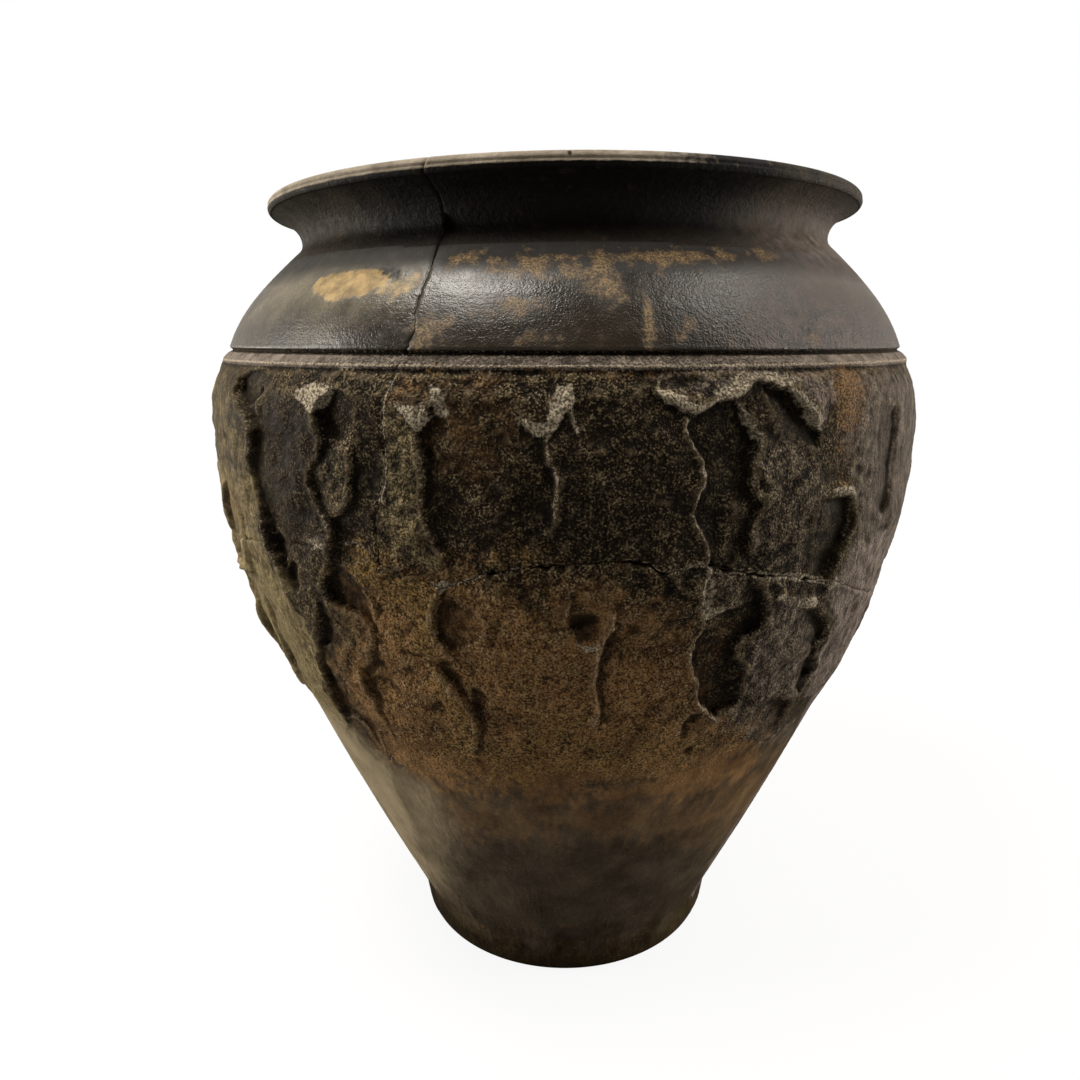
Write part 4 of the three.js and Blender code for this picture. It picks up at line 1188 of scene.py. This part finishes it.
# How coarse the clay's own patterns are, in mm, and the values of each noise that count as 0 and 1
clayGrain = {
    "broad": {"size": 36, "detail": 3, "rough": 0.55},
    "patch": {"size": 10, "detail": 4, "rough": 0.6},
    "mottle": {"size": 3, "detail": 3, "rough": 0.6},
    "fleck": {"size": 1.2, "detail": 1.5, "rough": 0.5, "range": (0.36, 0.64)},
    "crumb": {"size": 0.5, "detail": 1, "rough": 0.5, "range": (0.4, 0.6)},
    # sand, drawn as fine as shows
    "grit": {"size": 0.36, "detail": 0, "rough": 0.5, "range": (0.36, 0.64)},
    # strokes of the hand
    "drag": {"size": 1.2, "detail": 2, "rough": 0.6, "stretch": (1.0, 1.0, 0.14)},
    # roots and straw burnt out of the slip: fine crooked lines
    "fibre": {"size": 0.7, "detail": 1, "rough": 0.5, "type": "RIDGED_MULTIFRACTAL", "range": (0.35, 1.3),
              "more": {"Offset": 1.0}},
}
# Each coat of colour: the field it follows, two tints and the grain that mixes them, how strong it is, and
# between which values of the field it sets in or by which grain its edge is torn. Bumps are in mm.
slipLook = {
    "rough": (0.62, 0.85),
    "gloss": 0.06,
    "bumps": {"grit": 0.04, "crumb": 0.09, "fleck": 0.14, "fibre": 0.03, "mottle": 0.35},
    "ragged": 0.04,       # how much the edges of the bare wall wander, as a share of the jar's height
    "footTop": (0.085, 0.045),
    "wallSand": 0.15,       # share of the sand that still shows on the bare wall, at the sides and in the smoke and painted shade
    "leastSand": {"flank": 0.3, "smokeAndShade": 0.5},
    "clumps": 0.55,
    "base": ("#130e09", "#33291d", "mottle"),
    "scraped": ("#382f25", "#564b3e", "patch"),
    "scrapedTop": (0.303, 0.36),      # share of the jar's height at which the slip takes over
    "foot": ("#241c11", "#423623", "mottle"),
    "coats": [
        # paler at the sides: partly own colour, partly painted side light
        {"where": "flank", "tints": ("#2f2718", "#554a32", "patch"),
         "strength": 0.3, "torn": ("patch", 0.3)},
        {"where": "brown", "tints": ("#614427", "#a88053", "patch"), "strength": 0.9, "span": (0.05, 1.0)},
        {"where": "ochre", "tints": ("#4f3c20", "#96763f", "fleck"),
         "strength": 0.7, "torn": ("mottle", 0.9)},
        {"where": "buff", "tints": ("#665a3f", "#9a8a64", "drag"),
         "strength": 0.85, "torn": ("mottle", 0.3)},
        # painted side light on the flanks
        {"where": "paintedSideLight", "tints": ("#85795f", "#a3947a", "patch"),
         "strength": 0.9, "torn": ("broad", 0.15)},
        {"where": "bloom", "tints": ("#554a44", "#9a8d85", "drag"),
         "strength": 0.8, "torn": ("mottle", 0.5)},
        # smoke darkening and painted shade in the valleys
        {"where": "smokeAndShade", "tints": ("#070402", "#1e150b", "fleck"),
         "strength": 0.92, "torn": ("mottle", 0.5)},
    ],
    "sandCoats": [
        {"where": "tangle", "tints": ("#64583f", "#b0a07f", "grit"), "strength": 0.6, "span": (0.95, 1.45)},
        {"where": "crumb", "tints": ("#050302", "#0f0b07", "mottle"),
         "strength": 0.7, "span": (0.45, 0.05)},
        {"where": "fibre", "tints": ("#050302", "#0f0b07", "mottle"), "strength": 0.35, "span": (0.4, 0.1)},
        # painted shade in the fine pits of the slip
        {"where": "grainy", "tints": ("#050302", "#0c0906", "fleck"),
         "strength": 0.6, "span": (-0.1, -0.9)},
        {"where": "grainy", "tints": ("#5f513c", "#8d7d62", "fleck"), "strength": 0.3, "span": (0.3, 1.0)},
    ],
    "topCoats": [
        # painted shade in the low places between the slip's lumps and drapes
        {"where": "standing", "tints": ("#0b0805", "#14100a", "mottle"),
         "strength": 0.3, "span": (-0.15, -0.9)},
        {"where": "proud", "tints": ("#0b0805", "#14100a", "mottle"),
         "strength": 0.35, "span": (-0.2, -0.9)},
        {"where": "cordon", "tints": ("#453e36", "#847970", "mottle"),
         "strength": 0.9, "torn": ("crumb", 0.25)},
        {"where": "rust", "tints": ("#4d371f", "#876640", "crumb"),
         "strength": 0.6, "torn": ("fleck", 0.6)},
        # pale crests: rubbed wear and painted highlight
        {"where": "crest", "tints": ("#6f6455", "#b3a693", "grit"),
         "strength": 0.85, "torn": ("crumb", 0.3)},
        # painted shade on drape walls and low sides, in hollows, dents and pits, and in the groove
        {"where": "paintedShade", "tints": ("#040302", "#140f0a", "fleck"),
         "strength": 0.95, "span": (0.25, 0.95)},
        {"where": "chalk", "tints": ("#5a5143", "#a99e8a", "crumb"),
         "strength": 0.92, "torn": ("fleck", 0.3)},
        {"where": "tan", "tints": ("#6c5536", "#96794f", "crumb"), "strength": 0.8, "torn": ("fleck", 0.6)},
    ],
}
burnishLook = {
    "rough": (0.24, 0.34),
    "gloss": 0.42,
    "bumps": {"fleck": 0.02, "crumb": 0.022, "grit": 0.016, "mottle": 0.03},
    "throwLines": 0.03,
    "pebbles": {"crumb": 0.09, "fleck": 0.1, "grit": 0.04},       # more bumps on the right of the shoulder
    "worn": {"tan": 0.5, "rust": 0.3, "crest": 0.3, "flank": 0.16, "shoulderBloom": 0.1},       # duller there
    "neckward": (0.872, 0.892, 0.45),       # from and to a share of the height, duller by
    "base": ("#100c08", "#2c2419", "broad"),
    "coats": [
        {"where": "mottle", "tints": ("#332b1f", "#4d422f", "fleck"), "strength": 0.35, "span": (0.6, 1.0)},
        # paler at the sides: partly own colour, partly painted side light
        {"where": "flank", "tints": ("#2a2418", "#474030", "patch"),
         "strength": 0.7, "torn": ("broad", 0.3)},
        # painted side light on the left of the shoulder
        {"where": "paintedSideLight", "tints": ("#4b4536", "#716955", "patch"),
         "strength": 0.85, "torn": ("broad", 0.2)},
        {"where": "shoulderBloom", "tints": ("#0c0807", "#55463f", "mottle"),
         "strength": 0.85, "span": (0.0, 0.8)},
        {"where": "crumb", "tints": ("#1a130e", "#3a3029", "patch"), "strength": 0.4, "span": (0.5, 1.0)},
        # painted shade: darker towards the neck, under the rim
        {"where": "heightShare", "tints": ("#080604", "#15100b", "patch"),
         "strength": 0.9, "span": (0.872, 0.896)},
        {"where": "neckBloom", "tints": ("#453a35", "#786b66", "mottle"),
         "strength": 0.85, "span": (0.05, 1.0)},
        {"where": "rust", "tints": ("#4a3c28", "#856d4b", "crumb"),
         "strength": 0.85, "torn": ("mottle", 0.7)},
        {"where": "tan", "tints": ("#6f5d3e", "#a58d62", "mottle"),
         "strength": 0.95, "torn": ("mottle", 0.4)},
        # pale crests: rubbed wear and painted highlight
        {"where": "crest", "tints": ("#7d705d", "#b3a690", "grit"),
         "strength": 0.9, "torn": ("crumb", 0.6)},
        # painted shade in recesses, pits and the groove
        {"where": "paintedShade", "tints": ("#050302", "#0d0a07", "mottle"),
         "strength": 0.95, "torn": ("fleck", 0.3)},
    ],
}
sootAndShadeLook = {
    "rough": (0.55, 0.75),
    "gloss": 0.12,
    "bumps": {"fleck": 0.07, "crumb": 0.04},
    "throwLines": 0.02,
    # near black: soot, and painted shade under the rim
    "base": ("#030202", "#0a0806", "patch"),
    "coats": [
        # paler at the sides: partly own colour, partly painted side light
        {"where": "flank", "tints": ("#17120c", "#352e21", "patch"),
         "strength": 0.9, "torn": ("broad", 0.3)},
        # browner low on the neck, black higher up: painted shade deepening under the rim
        {"where": "heightShare", "tints": ("#120d08", "#2a2116", "patch"),
         "strength": 0.9, "span": (0.93, 0.9)},
        {"where": "mottle", "tints": ("#2b2218", "#3d3122", "fleck"), "strength": 0.3, "span": (0.7, 1.1)},
        {"where": "neckBloom", "tints": ("#42382f", "#7c7067", "mottle"),
         "strength": 0.85, "span": (0.05, 1.0)},
        {"where": "rust", "tints": ("#40331f", "#715b3c", "crumb"),
         "strength": 0.75, "torn": ("mottle", 0.7)},
        # pale crests: rubbed wear and painted highlight
        {"where": "crest", "tints": ("#5d5345", "#8b7f6b", "grit"),
         "strength": 0.7, "torn": ("crumb", 0.6)},
        # lip top rubbed pale, with painted highlight on the left
        {"where": "lipTopRubAndHighlight", "tints": ("#6b6153", "#a39888", "patch"),
         "strength": 0.9, "torn": ("mottle", 0.4)},
        # painted shade in recesses, pits and the groove
        {"where": "paintedShade", "tints": ("#030202", "#070504", "mottle"),
         "strength": 0.95, "torn": ("fleck", 0.3)},
    ],
}
insideLook = {
    "tints": ("#2b251c", "#4d4434"),
    "ridgeTint": "#6b5f49",
    "ridges": (0.45, 0.65, 0.5),       # from and to a value of the ridges' noise, strength
    "rough": (0.7, 0.9),
    "gloss": 0.2,
    "ridgeHeight": 0.6,
    "fleckHeight": 0.1,
}
glueRecipe = {"tints": ("#140f09", "#4a3a22"), "size": 2.5, "rough": (0.35, 0.6), "gloss": 0.5, "bump": 0.1}
throwScale = (20, 20, 1600)       # fine lines left by throwing, per metre
ridgeScale = (6, 6, 260)       # ridges left by fingers inside
colourMix = {"data_type": "RGBA"}


def addGrain(tree):
    # the noises, each stretched to run from 0 to 1, and the painted fields by name
    place = addNode(tree, "TexCoord", output="Object")
    made = {}
    for name, grain in clayGrain.items():
        where = addNode(tree, "Mapping", {}, {"Vector": place, "Scale": grain.get("stretch", (1, 1, 1))})
        spots = addNode(tree, "TexNoise", {"noise_type": grain.get("type", "FBM")}, {
            "Vector": where, "Scale": 1000 / grain["size"], "Detail": grain["detail"],
            "Roughness": grain["rough"], **grain.get("more", {})})
        low, high = grain.get("range", (0.33, 0.67))
        made[name] = addNode(tree, "MapRange", {}, {"Value": spots, "From Min": low, "From Max": high})
    return place, made


def addCoats(tree, colour, coats, sources):
    # lays the coats over a colour, one after another
    for coating in coats:
        name = coating["where"]
        if name not in sources:
            sources[name] = addNode(tree, "Attribute", {"attribute_name": name}, output="Fac")
        field = sources[name]
        low, high = coating.get("span", (0.05, 0.55))
        if "torn" in coating:
            grain, share = coating["torn"]
            field = addNode(tree, "Math", {"operation": "MULTIPLY_ADD"},
                            {0: sources[grain], 1: share, 2: field})
            low, high = share + 0.02, share + 0.45 if share < 0.5 else 1.25
        cover = addNode(tree, "MapRange", {}, {"Value": field, "From Min": low, "From Max": high,
                                               "To Max": coating["strength"]})
        dark, pale, grain = coating["tints"]
        tint = addNode(tree, "Mix", colourMix, {0: sources[grain], 6: dark, 7: pale}, 2)
        colour = addNode(tree, "Mix", colourMix, {0: cover, 6: colour, 7: tint}, 2)
    return colour


def startLook(name, look):
    # a new clay material with its grains, its base colour under its coats, and its roughness
    material, tree = newMaterial(name)
    place, sources = addGrain(tree)
    dark, pale, grain = look["base"]
    colour = addNode(tree, "Mix", colourMix, {0: sources[grain], 6: dark, 7: pale}, 2)
    colour = addCoats(tree, colour, look["coats"], sources)
    least, most = look["rough"]
    rough = addNode(tree, "MapRange", {}, {"Value": sources["mottle"], "To Min": least, "To Max": most})
    return material, tree, place, sources, colour, rough


def addThrowLines(tree, place, scale, detail):
    # level lines round the jar
    thrown = addNode(tree, "Mapping", {}, {"Vector": place, "Scale": scale})
    return addNode(tree, "TexNoise", {}, {"Vector": thrown, "Scale": 1.0, "Detail": detail})


def addSurface(tree, colour, rough, bumps, specular):
    # bumps are (0 to 1 pattern, mm high); the shader's own gloss is a fixed number
    height = 0.0
    for pattern, rise in bumps:
        height = addNode(tree, "Math", {"operation": "MULTIPLY_ADD"}, {0: pattern, 1: rise * mm, 2: height})
    relief = addNode(tree, "Bump", {}, {"Strength": 1.0, "Distance": 1.0, "Height": height})
    shader = addNode(tree, "BsdfPrincipled", {}, {"Base Color": colour, "Roughness": rough, "Normal": relief,
                                                  "IOR": 1.5, "Specular IOR Level": specular})
    addNode(tree, "OutputMaterial", {}, {0: shader})


def makeSlipLook():
    # clay slip smeared on by hand and fired grey: matt, sandy, dark with smoke and painted shade, pale on
    # proud edges from rubbing and painted highlight
    material, tree = newMaterial("sandySlipDraggedByHand")
    _, sources = addGrain(tree)
    height = addNode(tree, "Attribute", {"attribute_name": "heightShare"}, output="Fac")
    ground = {}
    for name in ("base", "scraped", "foot"):
        dark, pale, grain = slipLook[name]
        ground[name] = addNode(tree, "Mix", colourMix, {0: sources[grain], 6: dark, 7: pale}, 2)
    ragged = addNode(tree, "Math", {"operation": "MULTIPLY_ADD"},
                     {0: sources["patch"], 1: slipLook["ragged"], 2: height})
    high, low = slipLook["footTop"]
    share = addNode(tree, "MapRange", {}, {"Value": ragged, "From Min": high, "From Max": low})
    wall = addNode(tree, "Mix", colourMix, {0: share, 6: ground["scraped"], 7: ground["foot"]}, 2)
    low, high = [edge + slipLook["ragged"] / 2 for edge in slipLook["scrapedTop"]]
    slipped = addNode(tree, "MapRange", {}, {"Value": ragged, "From Min": low, "From Max": high})
    colour = addNode(tree, "Mix", colourMix, {0: slipped, 6: wall, 7: ground["base"]}, 2)
    colour = addCoats(tree, colour, slipLook["coats"], sources)
    # the slip's grain shows on the slip, in clumps, less at both sides and hardly on the scraped wall
    sources["tangle"] = addNode(tree, "Math", {"operation": "MULTIPLY_ADD"},
                                {0: sources["mottle"], 1: slipLook["clumps"], 2: sources["crumb"]})
    sandy = addNode(tree, "MapRange", {}, {"Value": slipped, "To Min": slipLook["wallSand"], "To Max": 1.0})
    for name, least in slipLook["leastSand"].items():
        rubbed = addNode(tree, "MapRange", {}, {"Value": sources[name], "To Min": 1.0, "To Max": least})
        sandy = addNode(tree, "Math", {"operation": "MULTIPLY"}, {0: sandy, 1: rubbed})
    sanded = addCoats(tree, colour, slipLook["sandCoats"], sources)
    colour = addNode(tree, "Mix", colourMix, {0: sandy, 6: colour, 7: sanded}, 2)
    colour = addCoats(tree, colour, slipLook["topCoats"], sources)
    least, most = slipLook["rough"]
    rough = addNode(tree, "MapRange", {}, {"Value": sources["mottle"], "To Min": least, "To Max": most})
    bumps = [(addNode(tree, "Math", {"operation": "MULTIPLY"}, {0: sources[name], 1: sandy}), rise)
             for name, rise in slipLook["bumps"].items()]
    addSurface(tree, colour, rough, bumps, slipLook["gloss"])
    return material


def makeBurnishLook():
    # clay rubbed with a pebble, then fired in smoke: near black, with a broad soft sheen over leathery grain
    material, tree, place, sources, colour, worn = startLook("burnishedSmokedClay", burnishLook)
    for name, share in burnishLook["worn"].items():
        worn = addNode(tree, "Math", {"operation": "MULTIPLY_ADD", "use_clamp": True},
                       {0: sources[name], 1: share, 2: worn})
    low, high, most = burnishLook["neckward"]
    neckward = addNode(tree, "MapRange", {}, {"Value": sources["heightShare"], "From Min": low,
                                              "From Max": high, "To Max": most})
    worn = addNode(tree, "Math", {"operation": "ADD", "use_clamp": True}, {0: worn, 1: neckward})
    bumps = [(sources[name], rise) for name, rise in burnishLook["bumps"].items()]
    bumps.append((addThrowLines(tree, place, throwScale, 2.0), burnishLook["throwLines"]))
    for name, rise in burnishLook["pebbles"].items():
        pebbly = addNode(tree, "Math", {"operation": "MULTIPLY"},
                         {0: sources[name], 1: sources["shoulderBloom"]})
        bumps.append((pebbly, rise))
    addSurface(tree, colour, worn, bumps, burnishLook["gloss"])
    return material


def makeSootAndShadeLook():
    # neck and rim, where smoke from the firing settled and painted shade lies under the rim: dull black in
    # front, browner at the sides partly as painted side light, lip worn pale and partly painted highlight
    material, tree, place, sources, colour, rough = startLook("sootedAndShadedClayOfRim", sootAndShadeLook)
    bumps = [(sources[name], rise) for name, rise in sootAndShadeLook["bumps"].items()]
    bumps.append((addThrowLines(tree, place, throwScale, 2.0), sootAndShadeLook["throwLines"]))
    addSurface(tree, colour, rough, bumps, sootAndShadeLook["gloss"])
    return material


def makeInsideLook():
    # the same clay as it left the wheel: grey brown and dry, with finger ridges
    material, tree = newMaterial("wheelThrownGreyClay")
    place, sources = addGrain(tree)
    ridges = addThrowLines(tree, place, ridgeScale, 3.0)
    dark, pale = insideLook["tints"]
    colour = addNode(tree, "Mix", colourMix, {0: sources["patch"], 6: dark, 7: pale}, 2)
    low, high, most = insideLook["ridges"]
    share = addNode(tree, "MapRange", {}, {"Value": ridges, "From Min": low, "From Max": high,
                                           "To Max": most})
    colour = addNode(tree, "Mix", colourMix, {0: share, 6: colour, 7: insideLook["ridgeTint"]}, 2)
    least, most = insideLook["rough"]
    rough = addNode(tree, "MapRange", {}, {"Value": sources["mottle"], "To Min": least, "To Max": most})
    bumps = [(ridges, insideLook["ridgeHeight"]), (sources["fleck"], insideLook["fleckHeight"])]
    addSurface(tree, colour, rough, bumps, insideLook["gloss"])
    return material


def makeGlueLook():
    # old animal glue in the joins: brown, half clear and cloudy
    material, tree = newMaterial("yellowedAnimalGlue")
    place = addNode(tree, "TexCoord", output="Object")
    cloudy = addNode(tree, "TexNoise", {}, {"Vector": place, "Scale": 1000 / glueRecipe["size"],
                                            "Detail": 4.0})
    dark, pale = glueRecipe["tints"]
    colour = addNode(tree, "Mix", colourMix, {0: cloudy, 6: dark, 7: pale}, 2)
    least, most = glueRecipe["rough"]
    rough = addNode(tree, "MapRange", {}, {"Value": cloudy, "To Min": least, "To Max": most})
    addSurface(tree, colour, rough, [(cloudy, glueRecipe["bump"])], glueRecipe["gloss"])
    return material


clayLooks = [makeSlipLook(), makeBurnishLook(), makeSootAndShadeLook(), makeInsideLook()]
glueLook = makeGlueLook()
for piece in (rightSherd, leftSherd, lowerBody):
    for look in clayLooks:
        piece.data.materials.append(look)
for piece in (frontGlue, backGlue, girthGlue):
    piece.data.materials.append(glueLook)
print("materials made")

# Studio: a pale floor that fades to white, soft lamps above and at both sides
studio = {
    "floorHalf": 6.0,       # metres
    "floorGrey": 0.9,
    "lamps": [
        {"name": "ceilingLeft", "place": (-0.3, -0.17, 0.85), "size": (0.5, 0.26), "watts": 7.5},
        {"name": "ceilingRight", "place": (0.5, -0.16, 0.74), "size": (0.42, 0.36), "watts": 3.1},
        {"name": "left", "place": (-0.78, -0.12, 0.3), "size": (0.3, 0.4), "watts": 3.6},
        {"name": "right", "place": (0.78, -0.12, 0.3), "size": (0.3, 0.4), "watts": 2.2},
        {"name": "leftLow", "place": (-0.7, 0.1, 0.08), "size": (0.5, 0.12), "watts": 1.9},
        {"name": "rightLow", "place": (0.7, 0.1, 0.08), "size": (0.5, 0.12), "watts": 1.7},
    ],
    "lampTint": (1.0, 0.95, 0.87),
    "aim": (0, 0, 0.11),
    "roomAhead": 0.14,     # strength of the room's light from the side where the photographer stands
    "roomBehind": 0.95,    # and from behind the jar
    "roomTurn": (-0.4, 0.9),      # where the one begins to give way to the other, and ends
    "roomTint": "#fff6ea",
    "floorWhite": 0.9,
    "floorBounce": 0.25,
    "floorFade": (0.16, 0.5),     # metres from the jar at which shading begins to give way to white and ends
}


def makeFloor():
    mesh = bpy.data.meshes.new("floor")
    half = studio["floorHalf"]
    corners = [(-half, -half, 0), (half, -half, 0), (half, half, 0), (-half, half, 0)]
    mesh.from_pydata(corners, [], [(0, 1, 2, 3)])
    floor = bpy.data.objects.new("floor", mesh)
    bpy.context.collection.objects.link(floor)
    material, tree = newMaterial("paperSweep")
    seen = addNode(tree, "LightPath", output="Is Camera Ray")
    place = addNode(tree, "TexCoord", output="Object")
    away = addNode(tree, "VectorMath", {"operation": "LENGTH"}, {0: place}, "Value")
    fade = addNode(tree, "MapRange", {"interpolation_type": "SMOOTHSTEP"}, {
        "Value": away, "From Min": studio["floorFade"][0], "From Max": studio["floorFade"][1],
        "To Min": studio["floorWhite"], "To Max": 1.0})
    share = addNode(tree, "Math", {"operation": "MULTIPLY"}, {0: seen, 1: fade})
    shade = addNode(tree, "MapRange", {}, {"Value": seen, "To Min": studio["floorBounce"],
                                           "To Max": studio["floorGrey"]})
    grey = addNode(tree, "CombineColor", {}, {"Red": shade, "Green": shade, "Blue": shade})
    paper = addNode(tree, "BsdfDiffuse", {}, {"Color": grey})
    white = addNode(tree, "Emission", {}, {"Color": "#ffffff", "Strength": 1.0})
    mixed = addNode(tree, "MixShader", {}, {0: share, 1: paper, 2: white})
    addNode(tree, "OutputMaterial", {}, {0: mixed})
    mesh.materials.append(material)


def makeWorld():
    world = bpy.data.worlds.new("studio")
    bpy.context.scene.world = world
    world.use_nodes = True
    tree = world.node_tree
    tree.nodes.clear()
    camera = addNode(tree, "LightPath", output="Is Camera Ray")
    through = addNode(tree, "LightPath", output="Is Transmission Ray")
    seen = addNode(tree, "Math", {"operation": "MAXIMUM"}, {0: camera, 1: through})
    place = addNode(tree, "TexCoord", output="Generated")
    depth = addNode(tree, "SeparateXYZ", {}, {"Vector": place}, "Y")
    level = addNode(tree, "MapRange", {"interpolation_type": "SMOOTHSTEP"}, {
        "Value": depth, "From Min": studio["roomTurn"][0], "From Max": studio["roomTurn"][1],
        "To Min": studio["roomAhead"], "To Max": studio["roomBehind"]})
    dim = addNode(tree, "Background", {}, {"Color": studio["roomTint"], "Strength": level})
    white = addNode(tree, "Background", {}, {"Color": "#ffffff", "Strength": 1.0})
    mixed = addNode(tree, "MixShader", {}, {0: seen, 1: dim, 2: white})
    addNode(tree, "OutputWorld", {}, {0: mixed})


def makeLamps():
    for lamp in studio["lamps"]:
        light = bpy.data.lights.new(lamp["name"], "AREA")
        light.shape = "RECTANGLE"
        light.size, light.size_y = lamp["size"]
        light.energy = lamp["watts"]
        light.color = studio["lampTint"]
        item = bpy.data.objects.new(lamp["name"], light)
        item.location = lamp["place"]
        item.rotation_mode = "QUATERNION"
        item.rotation_quaternion = (Vector(studio["aim"]) - Vector(lamp["place"])).to_track_quat("-Z", "Y")
        bpy.context.collection.objects.link(item)


def makeCamera():
    data = bpy.data.cameras.new("photoCamera")
    data.sensor_width = photo["sensor"]
    data.lens = photo["sensor"] * photo["focal"] / photo["size"]
    middle = photo["size"] / 2
    data.shift_x = (middle - photo["axisX"]) / photo["size"]
    data.shift_y = (photo["eyeY"] - middle) / photo["size"]
    data.clip_start = photo["clipStart"]
    camera = bpy.data.objects.new("photoCamera", data)
    camera.location = (0, -photo["distance"] * mm, photo["lensHeight"] * mm)
    camera.rotation_euler = (math.pi / 2, 0, 0)
    bpy.context.collection.objects.link(camera)
    bpy.context.scene.camera = camera


makeFloor()
makeWorld()
makeLamps()
makeCamera()
bpy.context.scene.view_settings.view_transform = "Standard"
print("studio made")
